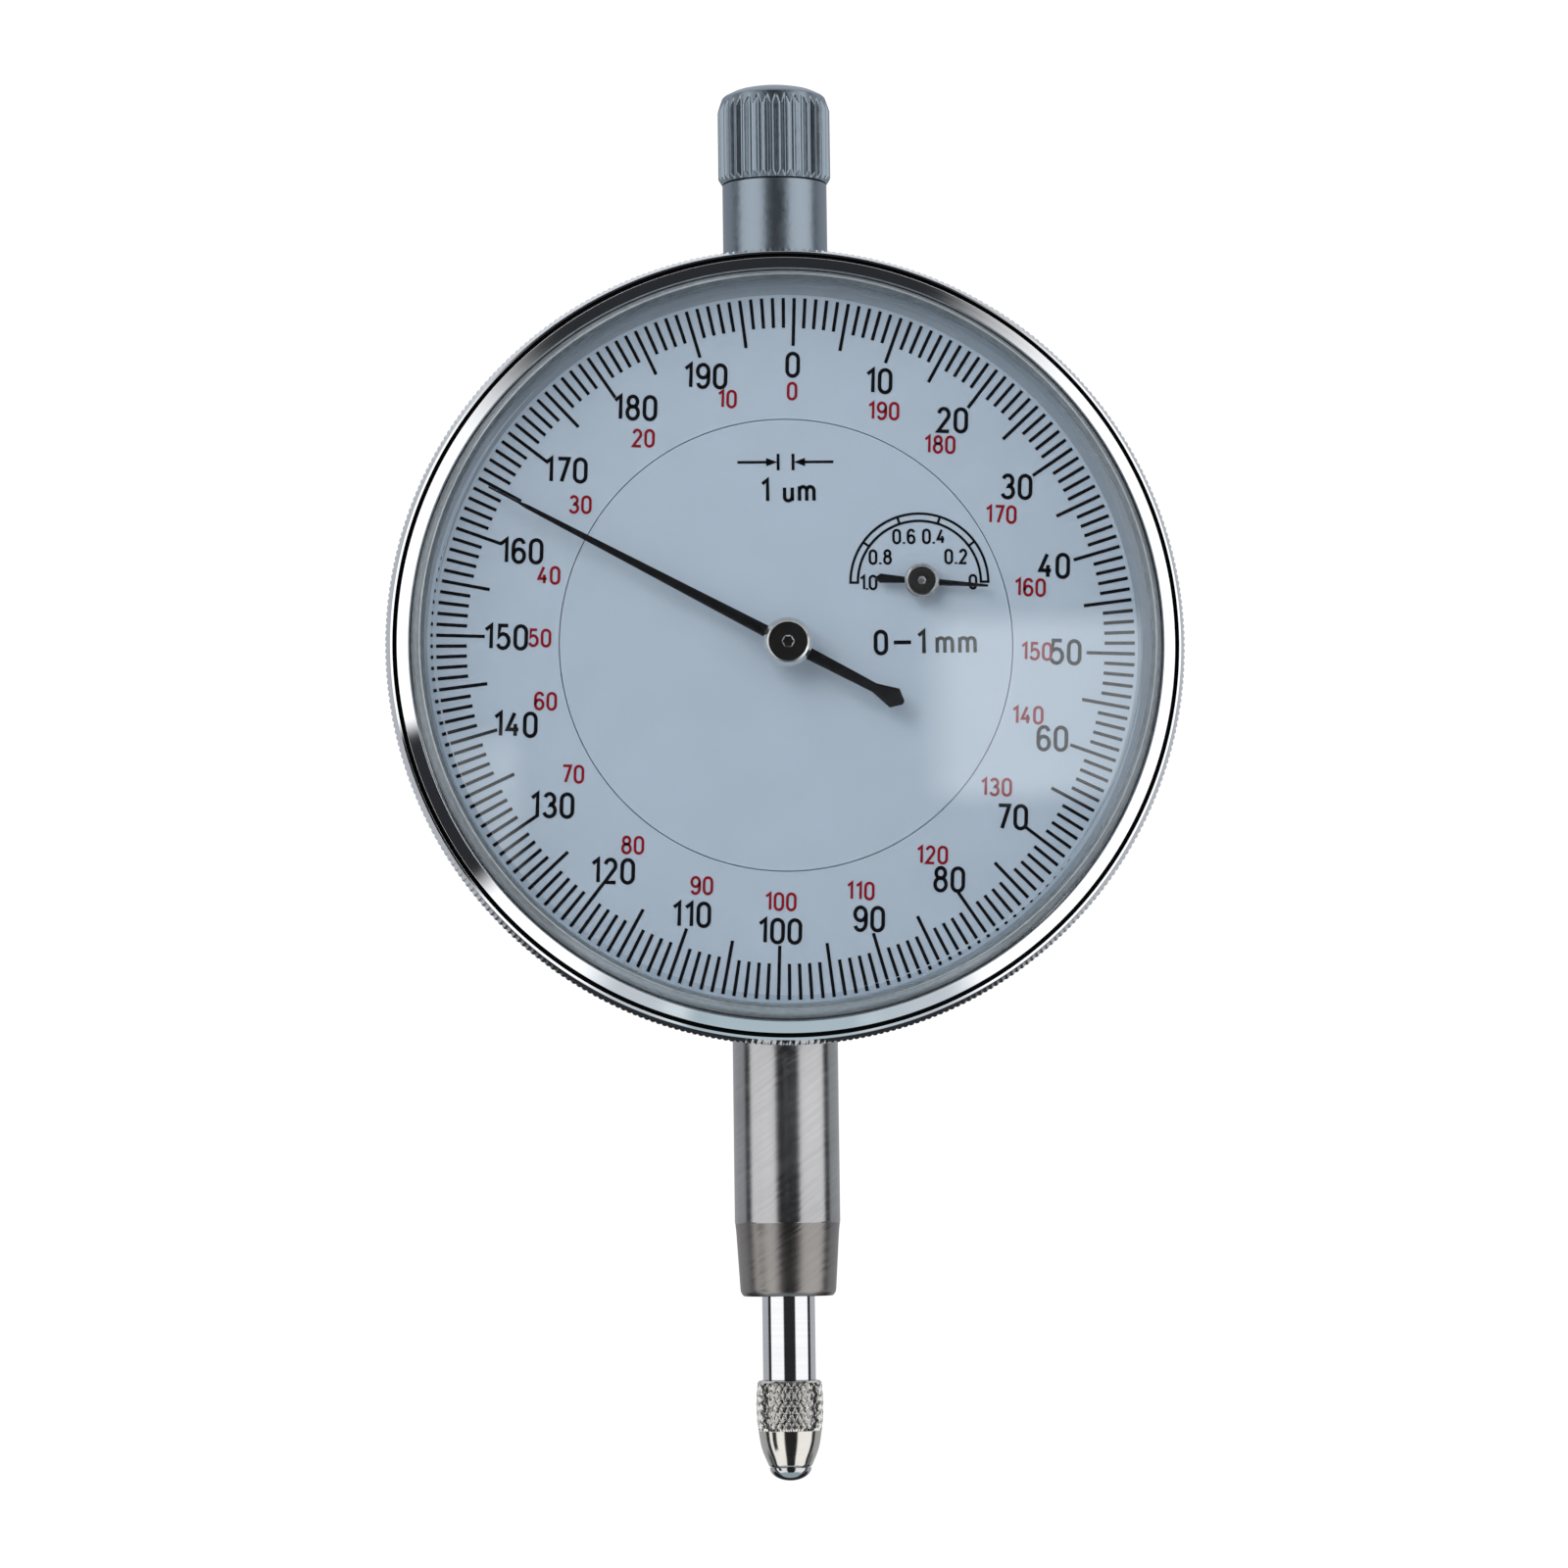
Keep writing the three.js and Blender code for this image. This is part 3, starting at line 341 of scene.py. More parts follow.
def make_crystal():
    """The clear crystal: flat in front, then a bevel whose glass is tinted darker as painted shade, and a
    steep edge painted opaque grey in place of the shade and reflections seen in clear acrylic.
    """
    bore, bevel_end = 27.0, 27.29
    line = rounded([
        (0, CRYSTAL_FRONT), (CRYSTAL_FLAT, CRYSTAL_FRONT, 0.05), (CRYSTAL_SHOULDER, -13.48, 0.1),
        (CRYSTAL_RADIUS, -11.1), (CRYSTAL_RADIUS, CRYSTAL_BACK, 0.1), (bore, CRYSTAL_BACK),
        (bore, CRYSTAL_INSIDE, 0.1), (0, CRYSTAL_INSIDE)], steps=5)
    crystal = piece("clear_crystal", *turned(line, 256, on_dial()), "bezel", ["crystal"], "crystal")
    crystal.visible_shadow = False
    # The bevel is tinted darker: painted shade on the dial's rim seen through it.
    paint_rings(crystal, DIAL, CRYSTAL_BEVEL_SHADE, CRYSTAL_FLAT + 0.04, bevel_end, -13.71, -13.3)
    # The steep edge: opaque grey as painted shade and reflection in place of clear acrylic.
    paint_rings(crystal, DIAL, CRYSTAL_EDGE_PAINTED_SHADE, bevel_end, CRYSTAL_RADIUS + 0.05, -13.53, -9.0)


# ---------------------------------------------------------------- printing

def arc(x, z, rx, rz, start, end, steps=9):
    """Points on an ellipse, angles in degrees anticlockwise from +x."""
    angles = [math.radians(start + (end - start) * k / steps) for k in range(steps + 1)]
    return [(x + rx * math.cos(a), z + rz * math.sin(a)) for a in angles]


def oval(x, z, rx, rz, steps=20):
    return arc(x, z, rx, rz, 0, 360, steps)[:-1]


def turned_over(strokes, width):
    return [([(width - x, 1 - z) for x, z in line], closed) for line, closed in strokes]


# Each glyph is its width and its strokes, one unit high: (points, closed).
SIX = [(arc(0.26, 0.75, 0.20, 0.25, 15, 90) + arc(0.24, 0.66, 0.24, 0.34, 100, 180) + [(0, 0.28)], False),
       (oval(0.24, 0.29, 0.24, 0.29), True)]
GLYPHS = {
    "0": (0.48, [(arc(0.24, 0.74, 0.24, 0.26, 0, 180) + arc(0.24, 0.26, 0.24, 0.26, 180, 360), True)]),
    "1": (0.26, [([(0, 0.80), (0.24, 1), (0.24, 0)], False)]),
    "2": (0.48, [(arc(0.24, 0.74, 0.22, 0.26, 170, -38) + [(0, 0), (0.48, 0)], False)]),
    "3": (0.48, [(arc(0.23, 0.76, 0.21, 0.24, 160, -80) + arc(0.23, 0.27, 0.25, 0.27, 80, -160), False)]),
    "4": (0.48, [([(0.30, 1), (0, 0.28), (0.48, 0.28)], False), ([(0.34, 0.52), (0.34, 0)], False)]),
    "5": (0.48, [([(0.44, 1), (0.07, 1), (0.04, 0.52)] + arc(0.22, 0.32, 0.26, 0.32, 120, -155), False)]),
    "6": (0.48, SIX),
    "7": (0.46, [([(0, 1), (0.46, 1), (0.16, 0)], False)]),
    "8": (0.48, [(oval(0.24, 0.77, 0.2, 0.23), True), (oval(0.24, 0.28, 0.24, 0.28), True)]),
    "9": (0.48, turned_over(SIX, 0.48)),
    ".": (0.02, [([(0.01, -0.05), (0.01, 0.08)], False)]),
    "-": (0.78, [([(0, 0.5), (0.78, 0.5)], False)]),
    " ": (0.1, []),
    "u": (0.36, [([(0, 0.62)] + arc(0.17, 0.17, 0.17, 0.17, 180, 340) + [(0.36, 0.2)], False),
                 ([(0.36, 0.62), (0.36, 0)], False)]),
    "m": (0.68, [([(0, 0.68), (0, 0)], False),
                 (arc(0.17, 0.46, 0.17, 0.2, 180, 0) + [(0.34, 0)], False),
                 (arc(0.51, 0.46, 0.17, 0.2, 180, 0) + [(0.68, 0)], False)]),
}


class Ink:
    """Printing in one colour, gathered as thin closed ribbons and made into one mesh."""

    def __init__(self, turn=0.0):
        self.verts, self.faces, self.turn = [], [], math.radians(turn)

    def point(self, x, y, z):
        c, s = math.cos(self.turn), math.sin(self.turn)
        return (DIAL.x + x * c + z * s, y, DIAL.z - x * s + z * c)

    def line(self, points, width, closed=False):
        """A ribbon along points (x, z). width is one value, or one for each point."""
        points = [Vector(p) for p in points]
        count, first = len(points), len(self.verts)
        widths = width if isinstance(width, (list, tuple)) else [width] * count
        for i, p in enumerate(points):
            before = p - points[i - 1] if i or closed else points[1] - p
            after = points[(i + 1) % count] - p if i < count - 1 or closed else before
            before, after = before.normalized(), after.normalized()
            along = (before + after).normalized()
            side = Vector((-along.y, along.x)) * widths[i] / 2 / max(0.5, along.dot(after))
            for edge, y in ((side, 0), (-side, 0), (-side, PRINT), (side, PRINT)):
                self.verts.append(self.point(p.x + edge.x, DIAL_FACE - y - 0.002, p.y + edge.y))
        for i in range(count if closed else count - 1):
            a, b = first + 4 * i, first + 4 * ((i + 1) % count)
            self.faces += [(a + k, a + (k + 1) % 4, b + (k + 1) % 4, b + k) for k in range(4)]
        if not closed:
            last = first + 4 * (count - 1)
            self.faces += [(first, first + 1, first + 2, first + 3), (last + 3, last + 2, last + 1, last)]

    def write(self, text, x, z, height, stroke, spread=None):
        """Text centred on (x, z). spread is its whole width, where that isn't the natural one."""
        size = height - stroke
        widths = [GLYPHS[c][0] * size for c in text]
        gap = stroke + 0.11 * size
        if spread:
            gap = (spread - stroke - sum(widths)) / (len(text) - 1)
        left = x - (sum(widths) + gap * (len(text) - 1)) / 2
        for character, width in zip(text, widths):
            for points, closed in GLYPHS[character][1]:
                self.line([(left + u * size, z + (v - 0.5) * size) for u, v in points], stroke, closed)
            left += width + gap

    def make(self, name, body, material):
        return piece(name, self.verts, self.faces, body, [], "dial", material, smooth=40)


def round_dial(angle, radius):
    """A point at a clockwise angle in degrees from the top."""
    a = math.radians(angle)
    return (radius * math.sin(a), radius * math.cos(a))


BLACK_SHIFTS = {20: -1.0, 170: 1.0, 180: 2.2}    # degrees that these numbers stand off their marks
RED_SHIFT = 3.2                                  # the same for some red numbers


def shifted(angle):
    """Where a red number stands: those near the sides and the top are moved off the black ones."""
    if angle in (18, 342):
        return angle + RED_SHIFT
    from_side = min(abs(angle - 90), abs(angle - 270))
    if from_side not in (18, 36):
        return angle
    side = 90 if angle < 180 else 270
    return angle + math.copysign(RED_SHIFT, side - angle)


DIVISIONS = 200
MARK_END, SHORT_MARK, LONG_MARK = 26.15, 23.88, 22.53    # radii of the ends of the scale's marks
MARK_WIDTH = 0.245
BLACK_RADIUS, BLACK_HEIGHT, BLACK_STROKE = 20.95, 1.99, 0.275
RED_RADIUS, RED_HEIGHT, RED_STROKE = 18.6, 1.42, 0.205
RIM_SHADE_RADIUS, RIM_SHADE_WIDTH = 27.12, 1.46                # a ring of painted shade on the rim outside the marks, where the bezel and crystal shade the dial


def print_ring():
    """The 200-part scale, with black numbers clockwise and red ones the other way.

    The numbers stand a little farther out at the top and the bottom than at the sides.
    """
    black, red = Ink(RING_TURN), Ink(RING_TURN)
    division = 360 / DIVISIONS
    for k in range(DIVISIONS):
        inner = SHORT_MARK if k % 5 else LONG_MARK
        black.line([round_dial(k * division, inner), round_dial(k * division, MARK_END)], MARK_WIDTH)
    for value in range(0, DIVISIONS, 10):
        angle = value * division
        up, right = math.cos(math.radians(angle)), math.sin(math.radians(angle))
        radius = BLACK_RADIUS + abs(up) * (0.15 if up > 0 else 0.5)
        black.write(str(value), *round_dial(angle + BLACK_SHIFTS.get(value, 0), radius),
                    BLACK_HEIGHT, BLACK_STROKE)
        radius = RED_RADIUS + 0.17 * right + up * up * (0.5 if up > 0 else 0.65)
        red.write(str((DIVISIONS - value) % DIVISIONS), *round_dial(shifted(angle), radius),
                  RED_HEIGHT, RED_STROKE)
    # A darker ring on the rim outside the marks: painted shade from the bezel and the crystal's rim.
    rim_shade = Ink(RING_TURN)
    rim_shade.line([round_dial(k, RIM_SHADE_RADIUS) for k in range(0, 360, 2)], RIM_SHADE_WIDTH, closed=True)
    rim_shade.make("ring_rim_painted_shade", "bezel", RIM_PAINTED_SHADE)
    black.make("ring_print_black", "bezel", BLACK_INK)
    red.make("ring_print_red", "bezel", RED_INK)


def print_graduation(ink, height=13.74):
    """Two arrows that point at the two bars of one division, and its size below them."""
    for side, bar, tail in ((-1, -0.45, -3.51), (1, 0.67, 3.70)):
        ink.line([(bar, height - 0.62), (bar, height + 0.62)], 0.22)
        ink.line([(tail, height), (bar + side * 0.5, height)], 0.20)
        ink.line([(bar + side * 0.9, height), (bar + side * 0.1, height)], [0.64, 0.03])
    ink.write("1 um", 0.28, 11.62, 1.86, 0.26, spread=4.12)


# Each number of the small scale, the radius it stands at and how far it is moved right and down.
COUNTER_NUMBERS = [("0", 4.02, 0, 0), ("0.2", 3.42, 0, 0.1), ("0.4", 3.62, 0, 0), ("0.6", 3.62, 0, 0),
                   ("0.8", 3.42, -0.15, 0.1), ("1.0", 4.02, 0.2, 0)]


def print_counter(ink):
    """The small scale of the turns: a half ring with a mark for each turn, and its numbers."""
    x, z, outer, inner = COUNTER.x - 0.1, COUNTER.z, 5.17, 4.62
    ink.line(arc(x, z, outer, outer, 0, 180, 48) + arc(x, z, inner, inner, 180, 0, 48), 0.185, True)
    for k in range(1, 5):
        a = math.radians(36 * k)
        ink.line([(x + r * math.cos(a), z + r * math.sin(a)) for r in (inner, outer)], 0.18)
    for k, (text, radius, right, down) in enumerate(COUNTER_NUMBERS):
        a = math.radians(36 * k)
        ink.write(text, x + radius * math.cos(a) + right, z + radius * math.sin(a) - down,
                  1.18, 0.185, spread=1.33 if text == "1.0" else None)


def print_disc():
    """The printing on the middle of the dial, with the range beside the small scale."""
    ink = Ink()
    print_graduation(ink)
    ink.write("0-1", 8.51, 0.1, 1.94, 0.28, spread=3.94)
    ink.write("mm", 12.72, 0.14, 1.94, 0.26, spread=3.1)
    print_counter(ink)
    ink.make("disc_print", "case", BLACK_INK)


def plate(name, loops, front, back, body, covers, slot):
    """A flat sheet on the dial whose outline and holes are circles (x, z, radius, segments)."""
    work = bmesh.new()
    for x, z, radius, segments in loops:
        ring = [work.verts.new((DIAL.x + px, front, DIAL.z + pz))
                for px, pz in arc(x, z, radius, radius, 0, 360, segments)[:-1]]
        for i, vert in enumerate(ring):
            work.edges.new((ring[i - 1], vert))
    filled = bmesh.ops.triangle_fill(work, edges=work.edges, use_beauty=True)
    faces = [f for f in filled["geom"] if isinstance(f, bmesh.types.BMFace)]
    grown = bmesh.ops.extrude_face_region(work, geom=faces, use_keep_orig=True)
    for vert in grown["geom"]:
        if isinstance(vert, bmesh.types.BMVert):
            vert.co.y = back
    work.verts.index_update()
    verts = [tuple(v.co) for v in work.verts]
    made = [[v.index for v in f.verts] for f in work.faces]
    work.free()
    return piece(name, verts, made, body, covers, slot)


DISC_RADIUS, RING_BORE, RING_RADIUS = 16.94, 17.01, 27.85
MAIN_HOLE, COUNTER_HOLE = 1.3, 0.9    # radii of the holes under the two hubs


def make_dial():
    back = box_mm("dial_disc")[1].y
    plate("dial_centre", [(0, 0, DISC_RADIUS, 192), (0, 0, MAIN_HOLE, 32),
                          (COUNTER.x, COUNTER.z, COUNTER_HOLE, 32)],
          DIAL_FACE, back, "case", ["dial_disc"], "dial")
    plate("dial_outer", [(0, 0, RING_RADIUS, 256), (0, 0, RING_BORE, 192)], DIAL_FACE, back,
          "bezel", ["dial_ring"], "dial")
    print_ring()
    print_disc()


# ---------------------------------------------------------------- hands

def hand(name, outline, angle, centre, body):
    """A hand with bevelled edges. outline is (distance along it, half width)."""
    low, high = box_mm(name)
    back, front = high.y, low.y
    shoulder = front + (back - front) * 0.4
    c, s = math.cos(math.radians(angle)), math.sin(math.radians(angle))
    verts, faces = [], []
    for along, half in outline:
        flat = half * 0.62
        for side, y in ((-half, back), (half, back), (half, shoulder), (flat, front),
                        (-flat, front), (-half, shoulder)):
            verts.append((DIAL.x + centre.x + along * c - side * s, y,
                          DIAL.z + centre.z + along * s + side * c))
    for i in range(len(outline) - 1):
        for k in range(6):
            faces.append((6 * i + k, 6 * i + (k + 1) % 6, 6 * i + 6 + (k + 1) % 6, 6 * i + 6 + k))
    faces += [tuple(range(6)), tuple(range(len(verts) - 6, len(verts)))]
    piece(name + "_blade", verts, faces, body, [name], "hand", smooth=20)


def hexagon(r, a, h):
    """Makes the small recess in a hub six-sided."""
    return r / math.cos((a + math.pi / 6) % (math.pi / 3) - math.pi / 6) if r < 0.6 else r


def hub(name, centre, socket, body, dark):
    """A turned hub: polished sloping rim, dark face and a small six-sided recess."""
    low, high = box_mm(name)
    radius, front, back = (high.x - low.x) / 2, low.y, high.y
    face = front + 0.1
    line = rounded([
        (0, back), (radius, back), (radius, front + (back - front) * 0.55, 0.05),
        (radius * 0.86, front, 0.05), (radius * 0.79, face, 0.03), (socket + 0.08, face),
        (socket, face + 0.07), (socket * 0.92, face + 0.25), (0, face + 0.25)])
    made = piece(name + "_turned", *turned(line, 96, on_dial(centre), wave=hexagon), body, [name],
                 "hub_chrome", smooth=25)
    for inner, outer in ((0, socket * 0.97), (socket + 0.09, radius * 0.785)):
        paint_rings(made, DIAL + centre, dark, inner, outer, front - 1, back - 0.01)


def make_hands():
    hand("main_hand", [(-9.75, 0.15), (-9.0, 0.80), (-7.3, 0.36), (-1.0, 0.47), (0, 0.47), (22.0, 0.16),
                       (22.6, 0.09), (25.1, 0.07)], MAIN_HAND_ANGLE, Vector((0, 0, 0)), "centre")
    hand("counter_hand", [(-3.45, 0.05), (-3.1, 0.35), (-1.0, 0.22), (0, 0.30), (5.0, 0.09)],
         COUNTER_HAND_ANGLE, COUNTER, "counter")
    hub("main_hub", Vector((0, 0, 0)), 0.36, "centre", HUB_FACE)
    hub("counter_hub", COUNTER, 0.2, "counter", COUNTER_FACE)


# ---------------------------------------------------------------- spindle, stem and cap

CAP_RADIUS, CAP_EDGE_RADIUS, CAP_BORE = 4.3, 4.05, 3.45
CAP_BORE_TOP = 40.4
ROD_HOLE_RADIUS, ROD_HOLE_TOP = 2.15, 42.0    # the hole in the lifting cap that the spindle ends in
FLUTES, FLUTE_DEPTH = 36, 0.25
SLEEVE_RADIUS, NECK_RADIUS, SLEEVE_BORE = 4.0, 3.2, 2.75
SLEEVE_LOW, SLEEVE_TOP, NECK_TOP = 23.9, 36.33, 40.0
STEM_RADIUS, STEM_BORE = 4.0, 3.05
STEM_TOP, CONE_TOP, STEM_END = -23.8, -43.05, -48.65
CONE_LINE = -43.1    # the stem's metal is darker below this
ROD_RADIUS, ROD_LOW, ROD_TOP = 2.0, -54.93, 41.8
COLLAR_RADIUS, COLLAR_SWELL = 2.45, 0.1
KNURL_TOP, KNURL_LOW = -55.2, -58.6
KNURLS, KNURL_LEAD, KNURL_DEPTH = 28, 0.95, 0.34
CONTACT_LOW, TIP_RADIUS = -61.5, 1.58


def cap_wave(r, a, h):
    """Axial flutes on the lifting cap. They run out on the slopes at both of its ends."""
    groove = 1 - triangle_wave(a / (2 * math.pi) * FLUTES)
    return min(r, CAP_RADIUS - FLUTE_DEPTH * min(1.0, max(0.0, 1.5 * groove - 0.3)))


def make_cap():
    """The lifting cap: hollow, fluted, with slopes at both ends and a rounded top."""
    low, high = (corner.z - DIAL.z for corner in box_mm("lift_cap"))
    lower_slope = [(CAP_EDGE_RADIUS + 0.25 * k / 4, low + 0.04 + 0.42 * k / 4) for k in range(4)]
    upper_slope = [(CAP_RADIUS - 0.34 * k / 8, high - 1.83 + k / 8) for k in range(1, 8)]
    line = rounded([
        (0, ROD_HOLE_TOP), (ROD_HOLE_RADIUS, ROD_HOLE_TOP), (ROD_HOLE_RADIUS, CAP_BORE_TOP),
        (CAP_BORE, CAP_BORE_TOP), (CAP_BORE, low), (4.02, low), *lower_slope,
        (CAP_RADIUS, low + 0.46, 0.06),
        (CAP_RADIUS, high - 1.83, 0.1), *upper_slope, (3.96, high - 0.83, 0.04),
        (3.8, high - 0.68, 0.05), (3.0, high - 0.28, 0.3), (1.9, high - 0.03, 0.3), (0, high)])
    piece("lift_cap_fluted", *turned(line, FLUTES * 12, on_spindle, wave=cap_wave), "spindle",
          ["lift_cap"], "cap_steel", smooth=28)


def make_sleeve():
    """The sleeve above the case, whose neck reaches up inside the cap."""
    line = rounded([(SLEEVE_BORE, SLEEVE_LOW), (SLEEVE_RADIUS, SLEEVE_LOW),
                    (SLEEVE_RADIUS, SLEEVE_TOP, 0.1), (NECK_RADIUS, SLEEVE_TOP),
                    (NECK_RADIUS, NECK_TOP), (SLEEVE_BORE, NECK_TOP)])
    piece("upper_sleeve_turned", *turned(line, 96, on_spindle, closed=True), "case",
          ["upper_sleeve"], "cap_steel")


def make_stem():
    """The clamping stem, with a darker cone at its lower end."""
    line = rounded([
        (STEM_BORE, STEM_TOP), (STEM_RADIUS, STEM_TOP), (STEM_RADIUS, CONE_TOP),
        (3.97, CONE_TOP - 0.07), (3.9, -43.75, 0.2), (3.62, -48.3, 0.2), (3.4, -48.62, 0.1),
        (3.02, STEM_END, 0.1), (2.9, -48.0)])
    stem = piece("stem_turned", *turned(line, 128, on_spindle, closed=True), "case", ["stem"],
                 "stem_steel", smooth=12)
    stem.data.materials.append(CONE_STEEL)
    for polygon in stem.data.polygons:
        polygon.material_index = int(polygon.center.z / MM - DIAL.z < CONE_LINE)


def make_rod():
    line = rounded([(0, ROD_LOW), (ROD_RADIUS, ROD_LOW), (ROD_RADIUS, ROD_TOP, 0.1), (0, ROD_TOP)])
    piece("spindle_turned", *turned(line, 96, on_spindle), "spindle", ["spindle_rod"], "spindle_steel")


def knurl_wave(r, a, h):
    """A diamond knurl on the contact point's collar."""
    if not KNURL_LOW < h < KNURL_TOP:
        return r
    one = triangle_wave(a / (2 * math.pi) * KNURLS + h / KNURL_LEAD)
    two = triangle_wave(a / (2 * math.pi) * KNURLS - h / KNURL_LEAD)
    return r - KNURL_DEPTH * (1 - max(one, two)) ** 0.8


def make_contact():
    """The contact point: a knurled, slightly barrelled collar that narrows to its seat for the tip."""
    steps, height = 48, KNURL_TOP - KNURL_LOW
    line = [Vector((0, -54.95)), Vector((2.03, -54.95)), Vector((2.3, -55.0)), Vector((2.43, -55.15))]
    line += [Vector((COLLAR_RADIUS + COLLAR_SWELL * math.sin(math.pi * k / steps),
                     KNURL_TOP - height * k / steps)) for k in range(steps + 1)]
    line += rounded([(2.4, -58.75, 0.08), (2.2, -60.1, 0.9), (1.63, -61.42, 0.15),
                     (1.5, CONTACT_LOW, 0.03), (0, CONTACT_LOW)], steps=8)
    contact = piece("contact_point_knurled", *turned(line, KNURLS * 12, on_spindle, wave=knurl_wave),
                    "spindle", ["contact_point"], "spindle_steel", CONTACT_STEEL, smooth=24)
    contact.data.materials.append(KNURL_STEEL)
    for polygon in contact.data.polygons:
        polygon.material_index = int(KNURL_LOW < polygon.center.z / MM - DIAL.z < KNURL_TOP)


def make_tip():
    """The polished tip, a flattened dome below its shank."""
    steps = 14
    line = [Vector((0, -59.9)), Vector((1.2, -59.9)), Vector((1.2, -61.52))]
    line += [Vector((TIP_RADIUS * math.cos(a), -61.55 - 1.0 * math.sin(a)))
             for a in [math.pi / 2 * k / steps for k in range(steps + 1)]]
    piece("contact_tip_polished", *turned(line, 96, on_spindle), "spindle", ["contact_tip"], "tip_metal")


def make_spindle():
    make_cap()
    make_sleeve()
    make_stem()
    make_rod()
    make_contact()
    make_tip()


# ---------------------------------------------------------------- measuring spring, case and screws

def make_spring(coils=26, wire=0.16, around=12, sides=8):
    """The measuring spring: a helix from the fixed post up to the spindle's hook."""
    low, high = box_mm("measuring_spring")
    x, y = (low.x + high.x) / 2, (low.y + high.y) / 2
    radius, bottom, top = (high.x - low.x) / 2 - wire, low.z + wire, high.z - wire
    verts, faces, count = [], [], coils * around + 1
    for i in range(count):
        turn, up = 2 * math.pi * i / around, bottom + (top - bottom) * i / (count - 1)
        for k in range(sides):
            a = 2 * math.pi * k / sides
            out = radius + wire * math.cos(a)
            verts.append((x + out * math.cos(turn), y + out * math.sin(turn), up + wire * math.sin(a)))
    for i in range(count - 1):
        for k in range(sides):
            n = (k + 1) % sides
            faces.append((i * sides + k, i * sides + n, (i + 1) * sides + n, (i + 1) * sides + k))
    faces += [tuple(range(sides)), tuple(range(len(verts) - sides, len(verts)))]
    spring = piece("measuring_spring_coil", verts, faces, "case", ["measuring_spring"], "spring_steel")
    spring.parent = None
    del spring["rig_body"]
    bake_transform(spring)


def drill(made, cutters):
    """Cuts closed meshes (verts, faces), in millimetres, out of a piece and applies the result."""
    blocks = []
    for verts, faces in cutters:
        mesh = bpy.data.meshes.new("cutter")
        mesh.from_pydata([Vector(v) * MM for v in verts], [], faces)
        blocks.append(bpy.data.objects.new("cutter", mesh))
        bpy.context.collection.objects.link(blocks[-1])
        cut = made.modifiers.new("cut", "BOOLEAN")
        cut.object, cut.operation, cut.solver = blocks[-1], "DIFFERENCE", "EXACT"
    bpy.context.view_layer.update()
    result = bpy.data.meshes.new_from_object(made.evaluated_get(bpy.context.evaluated_depsgraph_get()))
    made.modifiers.clear()
    made.data = result
    result.set_sharp_from_angle(angle=math.radians(32))
    for block in blocks:
        bpy.data.objects.remove(block)


def drill_bit(place, radius, low, high, segments=32):
    """A closed cylinder for drill(), whose faces point out."""
    verts, faces = turned([(radius, low), (radius, high)], segments, place)
    faces += [tuple(range(segments - 1, -1, -1)), tuple(range(segments, 2 * segments))]
    return outward(verts, faces)


def outward(verts, faces):
    """The same mesh with its faces pointing out."""
    volume = 0.0
    for face in faces:
        a = Vector(verts[face[0]])
        for b, c in zip(face[1:], face[2:]):
            volume += a.dot(Vector(verts[b]).cross(Vector(verts[c])))
    return verts, faces if volume > 0 else [face[::-1] for face in faces]


def slot_bit(x, z, angle, low, high, half=0.17, reach=4):
    """A closed bar for drill(), which cuts a screwdriver slot across (x, z)."""
    c, s = math.cos(math.radians(angle)), math.sin(math.radians(angle))
    verts = [(x + u * c - w * s, y, z + u * s + w * c) for y in (low, high)
             for u, w in ((-reach, -half), (reach, -half), (reach, half), (-reach, half))]
    faces = [(3, 2, 1, 0), (4, 5, 6, 7), (0, 1, 5, 4), (1, 2, 6, 5), (2, 3, 7, 6), (3, 0, 4, 7)]
    return outward(verts, faces)


def at_screw(node):
    """Where a screw stands from the dial's centre."""
    where = middle(node) - DIAL
    return Vector((where.x, 0, where.z))


COVER_SCREWS = ["cover_screw_1", "cover_screw_2", "cover_screw_3", "cover_screw_4"]
LUG_SCREWS = ["lug_screw_1", "lug_screw_2"]
SLOT_ANGLES = (20, 65, -15, 80, 35, -50)    # how each screw's slot was left standing, in degrees
SCREW_HOLE = 0.95           # radius of the hole for a screw
SCREW_HOLE_END = 2.2        # y of the bottom of the cover screws' holes in the case
PIVOT_HOLE, SPINDLE_HOLE = 1.2, 4.1    # radii of the holes for the hands' pivots and the stem


def make_shell():
    """The case: a drum with a shallow floor behind the dial, open at the back."""
    low, high = box_mm("case_shell")
    outer, bore, neck, groove = (high.x - low.x) / 2, 23.6, 25.4, 24.9
    front, floor, step, back = low.y, low.y + 1.1, -4.6, high.y
    groove_front, groove_back = -6.95, -6.05
    line = rounded([(0, front), (neck, front, 0.1), (neck, groove_front), (groove, groove_front),
                    (groove, groove_back), (neck, groove_back), (neck, step), (outer, step, 0.15),
                    (outer, back, 0.15), (bore, back), (bore, floor), (0, floor)])
    shell = piece("case_shell_finished", *turned(line, 256, on_dial()), "case", ["case_shell"],
                  "case_metal")
    bits = [drill_bit(on_dial(at_screw(node)), SCREW_HOLE, SCREW_HOLE_END, back + 1)
            for node in COVER_SCREWS]
    bits += [drill_bit(on_dial(centre), PIVOT_HOLE, front - 1, floor + 1)
             for centre in (Vector((0, 0, 0)), COUNTER)]
    bits.append(drill_bit(on_spindle, SPINDLE_HOLE, -outer - 2, outer + 2, 64))
    drill(shell, bits)


